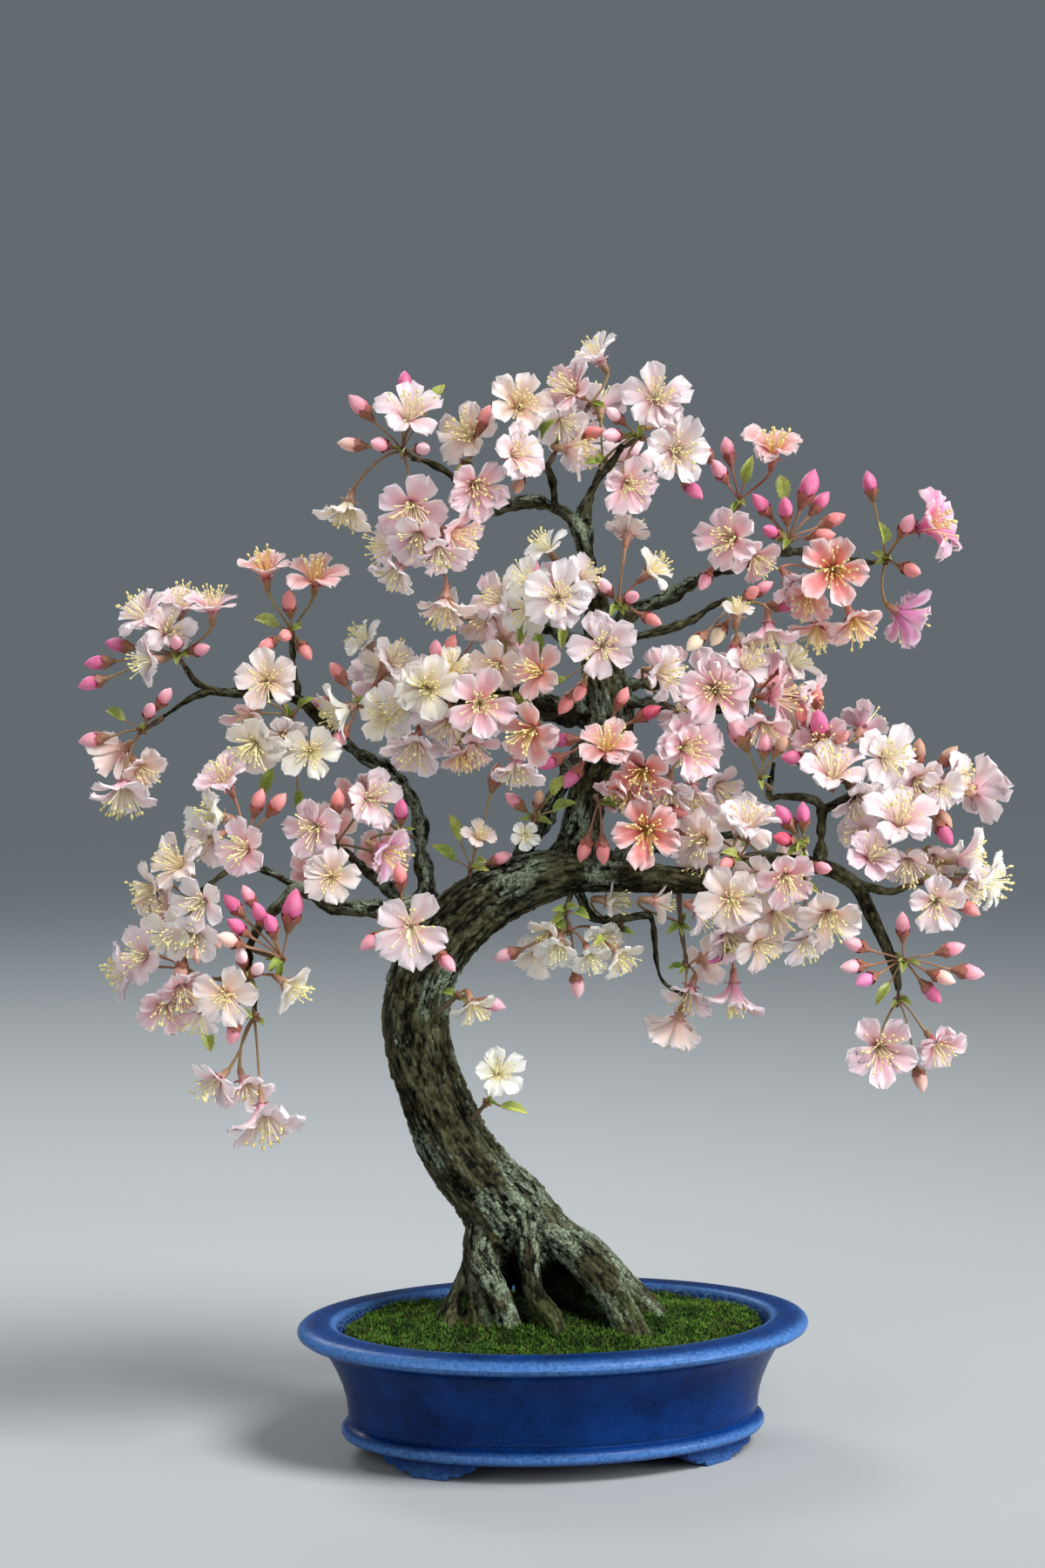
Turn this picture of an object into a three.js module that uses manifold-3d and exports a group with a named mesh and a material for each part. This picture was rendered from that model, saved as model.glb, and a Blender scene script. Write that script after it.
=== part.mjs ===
// A cherry blossom bonsai in a glazed oval pot: three.js meshes in millimetres, +Z up.
// The origin is on the surface that the feet stand on, under the middle of the pot, and X runs along
// the pot's long axis.
import * as THREE from "three";
import { mergeVertices } from "three/addons/utils/BufferGeometryUtils.js";
import Module from "manifold-3d";

const wasm = await Module();
wasm.setup();

// ---------------------------------------------------------------- driving dimensions

// The tree's front is turned from the pot's long side by this angle.
const FRONT_TURN = THREE.MathUtils.degToRad(-12);
// Layout points are [across, up, forward] as seen from here: a point keeps its place in the front
// view however far forward it is.
const FRONT_EYE = new THREE.Vector3(-14.2, -1632.2, 432.6);

const GAP = 0.3; // clear space between pieces that touch
const WELD = 1e-4; // vertices closer than this are one
const JOINT_FACET = 0.16; // joints between stalks and limbs have no facets finer than this

const POT = {
  endWall: 29, // how much shorter the half width is than the half length, at every height
  narrowest: 0.1, // near the axis, the half width is never less than this share of the half length
  segments: 24,
  // [half length, height] from the axis under the floor, out, over the rim and down inside
  profile: [
    [0, 8], [90, 8], [94.6, 8.6], [96, 11], [95, 13.6], [92.2, 15.4], [93, 24], [96.6, 35.5],
    [101.2, 44.5], [106, 51], [112.8, 52.4], [115.5, 55.4], [113.6, 58.6], [99.6, 59.6],
    [98, 56], [93, 40], [86.5, 14], [0, 13],
  ],
  beadRows: 5, // the profile's first rows, up to the bead's groove
  wallRows: 4, // its rows down the inner wall, before the last one
};
const FOOT = {
  planAngle: 44, // degrees from the long axis, in each quarter
  inset: 5, // from the bead's outer edge to the foot's outer face
  depth: 9,
  // half of the cloud-shaped outline, [along, height], from the flat sole to the top
  halfOutline: [[0, 0], [8, 0], [9.5, 2.4], [14.5, 2.2], [16, 4.6], [20.5, 5.2], [22, 9]],
};
const DRAIN = { across: 14, spacing: 84, sides: 10, height: 8, length: 40 };

const SOIL = { bottom: 14.3, middle: 40, top: 51 };
const MOSS = {
  edge: 94.5, // half length where it meets the pot's wall
  edgeHeight: 55.2,
  moundHeight: 65,
  moundPlace: [-4, 2],
  steepness: 1.6,
  lump: 0.65,
  lumpWaves: [[5, 9], [9, -7], [0, 14]], // waves [round the pot, outward]
  rings: 3,
};

const RIDGES = [[3, 0.7, 1], [5, -1.3, 0.7]]; // [round a limb, winding from ring to ring, strength]
const ROOT_WOOD = { sides: 6, ridges: 0.08 };
const THIN_WOOD = { sides: 4 };

const BLOOM = {
  petals: 5,
  // one petal's edge as [share of the half petal's angle, share of the radius, lift]
  edge: [[-1, 0.4, 0.05], [-0.66, 0.98, 0.3], [0, 0.85, 0.24], [0.66, 0.98, 0.3]],
  plainEdge: [[-1, 0.42, 0.05], [-0.52, 0.96, 0.3], [0.52, 0.96, 0.3]],
  plainBelow: 27.5, // a smaller bloom's petals have no notch
  unevenness: 0.07,
  throatDepth: 1.3, // from the throat to the calyx's mouth, along the axis
  calyxLength: 6,
  calyxMouth: 2.2,
  calyxBase: 1.1,
  stalk: 0.65,
};
const BUD = { fatness: 0.29, belly: 0.42, neck: 0.85, stalk: 0.6, sides: 3 };
const LEAF = {
  thickness: 0.9,
  thickestAt: 0.3, // share of the length
  arch: 1.2,
  tilt: 35, // degrees that leaves face up from the front
  // half of the outline as [share of the length, share of the length across]
  half: [[0.3, 0.18], [0.7, 0.2]],
};
const TWIG = { root: 1.5, tip: 1.0, sides: 3, knob: 4 }; // a three-sided knob bears the stalks

// Directions that a first side is turned towards. Nothing runs along its own one.
const LIMB_HINT = new THREE.Vector3(0.2, 1, 0.1);
const BLOOM_HINT = new THREE.Vector3(0.31, 0.2, 0.93);
const BUD_HINT = new THREE.Vector3(0.6, 0.5, 0.7);

const PALETTE = {
  bark: "#6d6257",
  moss: "#4d6b2c",
  soil: "#4a3a2a",
  glaze: "#2f55a8",
  blush: "#f4cdd3",
  cream: "#efe3c8",
  peach: "#f1cdbb",
  pink: "#eeaebb",
  coral: "#ea8f8e",
  rose: "#e277a3",
  white: "#f6eee9",
};

// ---------------------------------------------------------------- the tree's limbs

// Each limb is a row of [across, up, forward, radius], from its root to its tip.
const LIMBS = [
  {
    sides: 9, ridges: 0.12, // trunk, as far as the shoulder
    route: [
      [2, 44, -3, 13], [1, 62, -4, 14], [-3, 78, -4, 16.5], [-9, 92, -1, 18.5], [-20, 106, 0, 18],
      [-33, 121, 0, 15.8], [-44, 136, 0, 15.4], [-51, 152, 0, 14.8], [-57, 168, 0, 14],
      [-61, 184, 0, 13.7], [-61.5, 198, 0, 13.8], [-58, 214, 0, 14], [-50, 228, 0, 14],
      [-38, 241, 0, 13.2], [-24, 250, 0, 12.5], [-9, 256, 2, 11.5], [6, 259, 4, 9.5], [20, 258.5, 6, 7],
    ],
  },
  {
    sides: 6, ridges: 0.08, // right limb
    route: [
      [4, 259, 4, 8.5], [28, 258, 8, 6.8], [54, 255.5, 12, 5.6], [68, 256, 14, 5], [88, 263, 16, 4.4],
      [104, 263, 16, 3.8], [118, 262, 14, 3.2], [133, 254, 10, 2.8], [140, 241, 6, 2.8],
      [145, 231, 4, 2.4], [149, 222, 2, 2.2], [152, 213, 0, 1.6], [153, 205, -2, 1.1],
    ],
  },
  {
    sides: 8, ridges: 0.1, // upper trunk
    route: [
      [-6, 252, 1, 8], [8, 268, 0, 8.5], [13, 285, 0, 8], [17, 303, 0, 8], [24, 320, 0, 9.5],
      [24, 335, 0, 10], [21, 350, 0, 8.5], [19, 365, -1, 6], [18.5, 380, -2, 4.8], [16, 392, -3, 3.8],
    ],
  },
  {
    sides: 5, ridges: 0.05, // crown arch
    route: [
      [17, 386, -3, 3.8], [13, 404, -4, 3.3], [8, 415, -5, 3.3], [-2, 421, -6, 3], [-11, 423, -7, 3],
      [-24, 420, -7, 2.8], [-33, 416, -6, 2.6], [-37, 409, -4, 2.3],
    ],
  },
  {
    sides: 5, ridges: 0.05, // second stem beside the upper trunk
    route: [
      [-14, 254, -4, 4], [-14, 267, -3, 4], [-6, 280, -2, 3.8], [1, 295, -2, 3.6], [8, 308, -2, 3.5],
      [18, 322, -1, 3.5],
    ],
  },
  {
    sides: 5, ridges: 0.05, // left limb
    route: [
      [-57, 226, 0, 8], [-57, 245, 0, 4.8], [-57, 257, -2, 4], [-59, 268, -4, 3.5], [-59.5, 280, -6, 3.4],
      [-63.6, 293, -8, 3.4], [-73, 303.6, -9, 3], [-87, 312, -10, 2.7], [-104, 327, -11, 2.6],
      [-115, 336.5, -12, 2.5], [-142, 339, -14, 2], [-157, 338, -15, 1.6], [-170, 330, -16, 1.2],
      [-178, 325, -16, 1],
    ],
  },
  {
    sides: 5, ridges: 0.05, // lower left limb
    route: [
      [-54, 234, 2, 6], [-62, 244, 9, 3.8], [-70, 243, 12, 3.5], [-86, 243, 16, 3.2], [-100, 244, 19, 3],
      [-113, 252, 21, 2.7], [-122, 245, 23, 2.4], [-131, 235, 24, 2.1], [-136, 222, 25, 1.8],
      [-134, 208, 25, 1.4], [-133, 197, 25, 1.1],
    ],
  },
  {
    sides: 5, ridges: 0.05, // left centre limb
    route: [
      [18, 330, 0, 5], [8, 332, 2, 4.5], [-2, 333, 4, 4.2], [-21, 339, 4, 3.4], [-55, 335, -6, 2.8],
      [-80, 335, -8, 2],
    ],
  },
  {
    sides: 5, ridges: 0.05, // upper right limb
    route: [
      [19, 356, 0, 4.5], [25, 362, -1, 4], [32, 373, -3, 3.6], [50, 381, -6, 3], [58, 386, -7, 3],
      [67, 391, -8, 2.8], [80, 395, -9, 2.6], [103, 401, -11, 2], [120, 399, -12, 1.6],
      [140, 396, -14, 1.2],
    ],
  },
];

// Thinner twigs, each a row of [across, up, forward, radius] from its root.
const TWIGS = [
  [[22, 356, 0, 3], [30, 362, 2, 2.2], [50, 367, 4, 2], [61, 371, 4, 1.8], [68, 376, 2, 1.5],
    [76, 380, 0, 1.1]],
  [[-28, 419, -7, 2.2], [-45, 434, -9, 1.8], [-55, 440, -9, 1.5], [-63, 442, -9, 1.2]],
  [[0, 419, -5, 2], [-1, 432, -6, 1.6], [-4, 440, -7, 1.3]],
  [[9, 412, -5, 2.5], [17, 429, -6, 2], [25, 440, -6, 1.7], [30, 448, -6, 1.4]],
  [[-113, 335, -12, 1.8], [-115, 350, -13, 1.5], [-116, 362, -14, 1.2]],
  [[-148, 339, -14, 1.6], [-158, 343, -16, 1.3], [-163, 350, -18, 1.1]],
  [[-111, 250, 21, 2], [-124, 258, 22, 1.8], [-140, 262, 23, 1.5], [-158, 250, 24, 1.1]],
  [[118, 260, 14, 2.6], [118, 275, 13, 2.3], [118, 288, 12, 2.1], [112, 292, 10, 1.9], [100, 293, 8, 1.7],
    [95, 293, 6, 1.5], [97, 308, 5, 1.1]],
  [[117, 286, 12, 2], [136, 294, 4, 1.7], [155, 293, -2, 1.3]],
  [[131, 255, 10, 2], [148, 250.5, 6, 1.5], [157, 253, 2, 1.1]],
  [[9, 254, 4, 3], [17, 239, 10, 2.2], [30, 238.6, 13, 2], [40, 240, 14, 1.7], [43.5, 236.7, 15, 1.5],
    [45.4, 219, 16, 1]],
  [[24, 336, 2, 4], [45, 333, 4, 2.6], [65, 330, 4, 2], [82, 334, 0, 1.5]],
  [[14, 402, -5, 3], [14, 420, -22, 2.2], [20, 436, -38, 1.6]],
  [[20, 350, -2, 4.5], [12, 360, -22, 3.5], [0, 366, -42, 2.8], [-14, 374, -62, 1.8]],
  [[22, 340, -3, 4.5], [40, 343, -25, 3], [60, 342, -45, 2.4], [74, 338, -58, 1.6]],
  [[16, 326, -3, 4.5], [-8, 330, -25, 3.2], [-34, 334, -42, 2.6], [-54, 336, -56, 1.8]],
  [[10, 262, 2, 5], [34, 268, -22, 3.2], [58, 272, -42, 2.4], [78, 276, -56, 1.6]],
  [[-58, 232, -4, 5], [-72, 250, -22, 3.2], [-86, 262, -36, 2.2], [-93, 269, -44, 1.5]],
];

// Surface roots, spreading from the trunk's foot into the moss.
const ROOTS = [
  [[-28, 104, 2, 11], [-34, 90, 6, 8.5], [-37, 78, 10, 7.5], [-42, 66, 13, 6], [-46, 54, 15, 5]],
  [[-26, 100, 8, 9], [-30, 86, 14, 7], [-25, 77, 21, 5.2], [-20.5, 68, 27, 4.2], [-18, 54, 31, 3.6]],
  [[-14, 104, 10, 8], [-12, 90, 19, 5], [-10.5, 78, 24, 4], [-9, 69, 28, 3.6], [-3, 60, 33, 3.2],
    [0, 53.5, 36, 2.8]],
  [[-8, 110, 6, 11], [6, 96, 12, 9.5], [16, 83, 18, 7.5], [23, 71, 23, 6.2], [30, 60, 27, 4.6],
    [34, 53.5, 29, 4]],
  [[-6, 108, -2, 12], [10, 96, -2, 10.5], [23, 84, 0, 8.2], [33, 74, 2, 6.4], [42, 64, 4, 5],
    [50, 53.5, 5, 4]],
  [[-16, 98, -8, 10], [-24, 78, -20, 7], [-32, 61, -31, 5], [-36, 53.5, -35, 4]],
  [[6, 98, -8, 10], [18, 80, -20, 7.5], [31, 61, -33, 5], [36, 53.5, -38, 4]],
];

// ---------------------------------------------------------------- the flowering sprays

// twigs: rows of [across, up, forward], each from a point inside its limb
// blooms: [across, up, forward, width, turn to the right, tilt up], turned by degrees from the front
// buds: [across, up, forward, length]    leaves: [across, up, forward, length]
const SPRAYS = [
  {
    name: "spray_crown_far_left", tone: "blush",
    twigs: [[[-59, 441, -9], [-67, 445, -9]]],
    blooms: [[-64, 460, -6, 30, 10, 40], [-91, 421, -8, 26, -30, -60], [-63, 421, 4, 34, 0, -20]],
    buds: [[-86, 465, -12, 10], [-66, 475, -22, 9], [-90, 448, -12, 9], [-77, 448, 2, 9], [-58, 446, 4, 8]],
    leaves: [[-52, 469, -18, 14]],
  },
  {
    name: "spray_crown_left", tone: "pink",
    twigs: [[[-43, 432, -9], [-39, 440, -9]]],
    blooms: [[-35, 430, 8, 29, 15, -15], [-36, 452, -14, 26, -60, 10]],
    buds: [[-30.6, 460, -8, 9]],
    leaves: [],
  },
  {
    name: "spray_crown_drooping", tone: "blush",
    twigs: [[[-35, 412, -5], [-42, 400, -8], [-53, 396, -8]]],
    blooms: [
      [-45, 409, 6, 28, 60, -15], [-72, 404, -10, 26, -70, -5], [-69, 394, 8, 24, -50, -50],
      [-51, 402, 20, 24, 20, -50], [-48.5, 378.5, 6, 28, -20, -75],
    ],
    buds: [],
    leaves: [],
  },
  {
    name: "spray_crown_high_left", tone: "peach",
    twigs: [[[-1, 434, -6], [-11, 444, -9]]],
    blooms: [[-16, 465, -4, 30, 5, 15], [-17.7, 443.6, 8, 26, 30, 10]],
    buds: [[-16, 430, 4, 8]],
    leaves: [[-3, 455, 0, 12]],
  },
  {
    name: "spray_crown_top", tone: "white",
    twigs: [[[-3.5, 438, -7], [3, 449, -11], [16, 466, -15]]],
    blooms: [[19, 486, -17, 24, -50, 50], [8, 471, -6, 28, -40, 20], [7, 446, 0, 26, 80, -5]],
    buds: [[16.5, 453, -4, 9]],
    leaves: [],
  },
  {
    name: "spray_crown_right", tone: "pink",
    twigs: [[[29, 446, -6], [37, 451, -9]]],
    blooms: [[44, 468, -4, 32, 5, 10], [53, 445, 4, 31, 10, -5], [32, 431, 12, 30, 15, -10]],
    buds: [[25, 452, 4, 9], [26, 461, -2, 8], [61, 428, 0, 9]],
    leaves: [],
  },
  {
    name: "spray_centre_high", tone: "white",
    twigs: [[[17, 388, -3], [5, 387, -2], [-9, 384, -4]]],
    blooms: [
      [-3, 402, -4, 22, -60, 50], [1.5, 381, 14, 30, 0, 10], [-12, 388, 2, 22, -20, 20],
      [-23, 380, -2, 24, -60, 20],
    ],
    buds: [],
    leaves: [[-14, 366, 2, 13], [3.4, 364, 6, 12], [-7, 361, 6, 12]],
  },
  {
    name: "spray_centre_upright", tone: "cream",
    twigs: [[[30.5, 371, -3], [28, 378, 3]]],
    blooms: [[32, 409, 2, 19, 0, 80], [42, 392, 4, 20, 50, 50]],
    buds: [[22, 386, 8, 8], [34, 381, 12, 8], [43, 371, 12, 8]],
    leaves: [],
  },
  {
    name: "spray_centre_front", tone: "blush",
    twigs: [[[20, 356, 4], [17, 352, 12]]],
    blooms: [[21, 359.5, 26, 31, 0, 0]],
    buds: [[5, 334, 14, 9], [11, 339, 20, 8]],
    leaves: [[0, 342.5, 12, 12]],
  },
  {
    name: "spray_left_inner", tone: "coral",
    twigs: [[[-10, 336, 4], [-19, 336, 9]]],
    blooms: [
      [-33, 334, 22, 32, 5, 0], [-7, 348, 18, 27, -30, 10], [-10, 322, 20, 31, -25, -20],
      [-22, 362, -8, 26, 180, 10], [-42, 311, 14, 20, 10, -40],
    ],
    buds: [],
    leaves: [],
  },
  {
    name: "spray_left_centre", tone: "peach",
    twigs: [[[-50, 336, -5], [-53, 342, -3]]],
    blooms: [[-56, 341, 15, 30, 0, 5], [-61, 317, 2, 30, -10, -70], [-43, 374, -24, 22, -60, 20]],
    buds: [[-46, 360, 0, 8], [-52.5, 358, 6, 8]],
    leaves: [],
  },
  {
    name: "spray_left_outer", tone: "cream",
    twigs: [[[-78, 335, -8], [-85, 333, -3]]],
    blooms: [
      [-83, 361, -14, 22, -60, 35], [-75, 349, -20, 24, 180, 10], [-93, 331, -2, 28, -70, -20],
      [-73, 330, 0, 28, -20, 0],
    ],
    buds: [[-96, 348, -12, 9], [-103, 334, -16, 9], [-95.4, 318, 2, 9]],
    leaves: [],
  },
  {
    name: "spray_left_upright", tone: "coral",
    twigs: [[[-115.5, 358, -14], [-116, 366, -14]]],
    blooms: [[-127.4, 391.6, -16, 27, -15, 70], [-105.5, 388.7, -12, 28, 10, 60]],
    buds: [[-117, 379, -8, 9], [-127, 360, -6, 8], [-119, 364, 0, 8], [-110, 357, -8, 8]],
    leaves: [[-127, 370, -18, 13]],
  },
  {
    name: "spray_left_hanging", tone: "peach",
    twigs: [[[-112, 333.5, -12], [-117, 328, -6]]],
    blooms: [[-127, 344, 4, 29, 0, 5], [-133, 316, 6, 30, -15, -20], [-108, 313, 6, 27, 5, -5]],
    buds: [[-137, 331, 0, 8]],
    leaves: [[-110, 334, 0, 11], [-127, 299, -6, 13], [-113, 290, -6, 13]],
  },
  {
    name: "spray_left_tip_high", tone: "blush",
    twigs: [[[-162, 348, -17.5], [-166, 355, -19]]],
    blooms: [
      [-181, 372, -18, 27, -50, 40], [-164, 377, -28, 24, 20, 60], [-151, 376, -12, 24, 0, 80],
      [-178, 353, -8, 24, -65, -5],
    ],
    buds: [
      [-193, 360, -24, 9], [-202, 352, -20, 9], [-205, 343, -16, 9], [-167, 361, -6, 8], [-156, 358, -12, 8],
    ],
    leaves: [],
  },
  {
    name: "spray_left_tip_low", tone: "peach",
    twigs: [[[-173, 328, -16], [-182, 322, -14]]],
    blooms: [[-193, 311, -18, 28, -120, -40], [-193.5, 296, -4, 31, 0, -80]],
    buds: [[-172, 337, -8, 8], [-179, 331, -4, 8], [-205, 318, -14, 9]],
    leaves: [[-194, 329, -22, 12]],
  },
  {
    name: "spray_lower_left_upper", tone: "pink",
    twigs: [[[-59.5, 274, -5], [-68, 276, 2]]],
    blooms: [[-82, 292, 6, 28, 25, 5], [-76, 269, 14, 29, 60, -20]],
    buds: [[-68, 287, 8, 9]],
    leaves: [],
  },
  {
    name: "spray_lower_left_middle", tone: "peach",
    twigs: [[[-94, 243.5, 18], [-100, 254, 16]]],
    blooms: [[-106, 279, 14, 27, -20, -5], [-99, 257, 32, 27, 0, 10]],
    buds: [[-96, 291, 6, 9]],
    leaves: [],
  },
  {
    name: "spray_lower_left_inner", tone: "blush",
    twigs: [[[-70, 243, 12], [-67, 239, 19]]],
    blooms: [[-63.6, 234.6, 34, 35, 5, -5]],
    buds: [[-82, 228, 26, 9], [-48, 219, 24, 9], [-68.7, 258, 24, 9]],
    leaves: [],
  },
  {
    name: "spray_lower_left_outer_high", tone: "pink",
    twigs: [[[-136, 261.5, 23], [-137, 272, 20]]],
    blooms: [[-145.5, 299, 16, 27, -35, 50], [-149, 284, 22, 26, -60, 10], [-137, 269.5, 38, 27, -30, 5]],
    buds: [[-131, 291, 22, 9], [-122.5, 290, 24, 9]],
    leaves: [],
  },
  {
    name: "spray_lower_left_outer", tone: "peach",
    twigs: [[[-153, 254, 24], [-161, 244, 22]]],
    blooms: [[-166, 262, 30, 28, -40, 30], [-156, 246, 42, 27, -20, -10], [-169, 232, 36, 25, -30, -10]],
    buds: [
      [-182, 246, 20, 9], [-177, 238, 16, 8], [-159, 223, 28, 8], [-151, 229, 30, 8], [-166, 214, 26, 9],
    ],
    leaves: [],
  },
  {
    name: "spray_lower_left_low", tone: "pink",
    twigs: [[[-134.5, 212, 25], [-137, 211, 31], [-158, 212, 20]]],
    blooms: [
      [-188, 216, 14, 30, -75, -5], [-172.6, 200.7, 30, 30, 10, -25], [-146.5, 204.3, 40, 29, 0, -5],
      [-120.4, 210.3, 32, 22, 40, -60],
    ],
    buds: [[-139, 221.6, 38, 8], [-132, 216, 38, 8], [-143, 187, 22, 9]],
    leaves: [[-154, 185, 20, 13]],
  },
  {
    name: "spray_lower_left_tip", tone: "rose",
    twigs: [[[-133.7, 202, 25], [-133.5, 194, 25]]],
    blooms: [[-149, 165, 22, 22, -30, -50], [-137, 168, 34, 20, 20, -50], [-129, 152, 24, 34, 5, -75]],
    buds: [],
    leaves: [],
  },
  {
    name: "spray_lower_left_fan", tone: "rose",
    twigs: [[[-135.5, 225, 25], [-121, 220, 29]]],
    blooms: [],
    buds: [
      [-143, 245, 36, 9], [-141, 235, 40, 9], [-131, 241, 34, 9], [-126, 236, 38, 9], [-116, 244, 32, 12],
      [-136, 249, 30, 8], [-145, 230, 46, 8],
    ],
    leaves: [],
  },
  {
    name: "spray_trunk_low", tone: "white",
    twigs: [[[-42, 143, 6], [-30, 156, 12]]],
    blooms: [[-25, 169, 16, 24, 10, 20]],
    buds: [],
    leaves: [[-18, 153, 14, 13]],
  },
  {
    name: "spray_trunk_middle", tone: "cream",
    twigs: [[[-55, 194, 8], [-43, 204, 13]]],
    blooms: [[-36.6, 200, 18, 20, 30, -50]],
    buds: [[-27, 200, 10, 9]],
    leaves: [],
  },
  {
    name: "spray_shoulder", tone: "peach",
    twigs: [[[-38, 240, 2], [-37, 260, 4]]],
    blooms: [[-33.5, 274.5, 2, 16, 20, 45]],
    buds: [[-23.5, 265.5, 6, 8], [-26, 302.5, 0, 9]],
    leaves: [[-44, 279, 0, 13], [-33, 263, 14, 11], [-49, 268, 2, 13]],
  },
  {
    name: "spray_second_stem", tone: "pink",
    twigs: [[[-7, 278, -2], [-9, 283, 5]]],
    blooms: [[-13, 276, 10, 14, 0, 0]],
    buds: [[-18, 291, 2, 8], [-7, 292, 8, 7]],
    leaves: [[2, 298, 12, 12], [4, 288.5, 11, 12]],
  },
  {
    name: "spray_trunk_front", tone: "coral",
    twigs: [[[24, 322, 4], [21, 319, 13]]],
    blooms: [[23, 314, 26, 28, 0, 45], [39.5, 304, 16, 28, -15, -20]],
    buds: [[30, 337, 18, 8], [42, 330, 16, 9], [3, 318, 10, 9], [-2, 308, 11, 9], [7.5, 301, 14, 9]],
    leaves: [],
  },
  {
    name: "spray_trunk_front_low", tone: "coral",
    twigs: [[[15.5, 296, 3], [20, 290, 11]]],
    blooms: [[40.6, 278, 20, 32, 0, 0]],
    buds: [[13, 269, 12, 9], [21.5, 268, 14, 9], [55, 286, 14, 9], [62, 275, 10, 9]],
    leaves: [],
  },
  {
    name: "spray_right_inner", tone: "pink",
    twigs: [[[48, 333, 4], [54, 329, 8], [63, 312, 2]]],
    blooms: [
      [46, 347.5, 10, 28, 55, -10], [71, 340, 18, 33, 0, 0], [57.5, 314.5, 18, 31, 25, 0],
      [61, 296, 8, 24, 0, -60], [72, 298, -4, 22, 40, -30],
    ],
    buds: [],
    leaves: [],
  },
  {
    name: "spray_right_outer", tone: "pink",
    twigs: [[[80, 333.5, 0], [87, 334, -6]]],
    blooms: [[97, 337, 0, 32, 70, 0], [104, 352, -10, 24, 60, 35], [86, 356, -14, 20, -20, 20]],
    buds: [],
    leaves: [],
  },
  {
    name: "spray_right_twig", tone: "rose",
    twigs: [[[73, 378.7, 1], [81, 378, -2]]],
    blooms: [[94, 367.5, 0, 28, 0, -75], [80.5, 374, 8, 16, 20, 70]],
    buds: [
      [79.5, 356, 4, 9], [87, 383, 6, 8], [92, 385, -4, 8], [101, 377.4, -8, 9], [72, 364, 4, 9],
      [62, 361, 8, 9],
    ],
    leaves: [],
  },
  {
    name: "spray_upper_right_inner", tone: "pink",
    twigs: [[[69, 392, -8], [74, 404, -8], [81, 423, -12]]],
    blooms: [[78, 407, 8, 30, -25, 0], [96, 444.4, -14, 28, 10, 60]],
    buds: [[65, 446, -12, 9], [76, 446, -18, 9], [72, 437, -4, 9], [66, 388, 2, 8]],
    leaves: [[85, 437, -6, 13]],
  },
  {
    name: "spray_upper_right_fan", tone: "rose",
    twigs: [[[101, 400.6, -11], [103, 406, -10]]],
    blooms: [],
    buds: [
      [90.5, 422, -6, 9], [101.5, 420, -3, 9], [111.7, 430, -8, 12], [117, 423, -14, 9], [95, 410, -2, 8],
      [123, 415, -16, 9], [118.2, 408, -4, 9],
    ],
    leaves: [[100, 429, -18, 13]],
  },
  {
    name: "spray_upper_right_hanging", tone: "coral",
    twigs: [[[119, 399, -12], [119, 391, -12]]],
    blooms: [
      [122.8, 393, 6, 32, 0, 0], [104, 388, -2, 22, 40, -40], [116, 368, -8, 26, -20, -70],
      [131.5, 371.5, 2, 28, 30, -50],
    ],
    buds: [],
    leaves: [],
  },
  {
    name: "spray_upper_right_tip", tone: "rose",
    twigs: [[[138, 396.3, -14], [146, 397, -15]]],
    blooms: [[153.3, 372, -16, 25, 120, -30], [164, 413.7, -14, 28, 80, 15]],
    buds: [[138.3, 431, -16, 9], [155, 413, -4, 9], [157, 393, -4, 9]],
    leaves: [[144, 409, -4, 13]],
  },
  {
    name: "spray_right_high", tone: "blush",
    twigs: [[[133, 293, 5], [127, 301, -2], [119, 310, -4]]],
    blooms: [[123.3, 302, 12, 32, 0, 50], [136, 323, -10, 25, 150, 30], [108, 319, -12, 24, -20, 10]],
    buds: [
      [117, 325, 4, 12], [110, 329, 0, 9], [105, 310, 4, 9], [127, 319, 6, 8], [115.4, 338, -6, 9],
    ],
    leaves: [],
  },
  {
    name: "spray_right_outer_high", tone: "blush",
    twigs: [[[153, 293, -1.5], [160, 295, -6]]],
    blooms: [[146, 310, 4, 31, 20, 5], [171, 297, 6, 20, 10, -20], [187, 295, -10, 30, 110, 0]],
    buds: [[161, 313, -8, 9], [174.4, 311, -10, 9], [172, 283, -4, 9], [176, 274, 0, 8]],
    leaves: [],
  },
  {
    name: "spray_right_middle", tone: "pink",
    twigs: [[[146, 293.6, 1], [147, 281, 2]]],
    blooms: [[153.2, 281.1, 16, 34, 0, 30], [140, 266, 22, 27, 20, 30]],
    buds: [],
    leaves: [],
  },
  {
    name: "spray_right_outer_low", tone: "white",
    twigs: [[[155, 252.5, 3], [164, 255, 0]]],
    blooms: [
      [181, 265, 2, 28, 75, 10], [191, 256, -10, 28, 70, -10], [168, 266, -8, 22, 0, -30],
      [169.3, 245.8, 16, 31, 0, -5],
    ],
    buds: [[184, 243, 6, 9]],
    leaves: [],
  },
  {
    name: "spray_right_limb_outer", tone: "peach",
    twigs: [[[110, 262.5, 15], [110.5, 262, 22], [111, 254, 23]], [[110.5, 262, 22], [110.4, 272, 21]]],
    blooms: [[102.5, 257, 34, 28, 5, -15], [121.8, 240.3, 30, 31, 5, -30], [90.5, 227, 24, 26, 30, -20]],
    buds: [[118.7, 261, 28, 8], [101.7, 284, 20, 10], [110, 285, 22, 9], [101, 274, 28, 9]],
    leaves: [],
  },
  {
    name: "spray_right_limb_middle", tone: "peach",
    twigs: [[[83, 261, 15], [82, 266, 21]]],
    blooms: [[86, 280, 14, 29, 5, 60], [78, 247, 38, 31, 0, 0], [66, 274, 16, 25, -35, 0]],
    buds: [[76, 263, 32, 8]],
    leaves: [],
  },
  {
    name: "spray_right_limb_hanging", tone: "rose",
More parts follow.
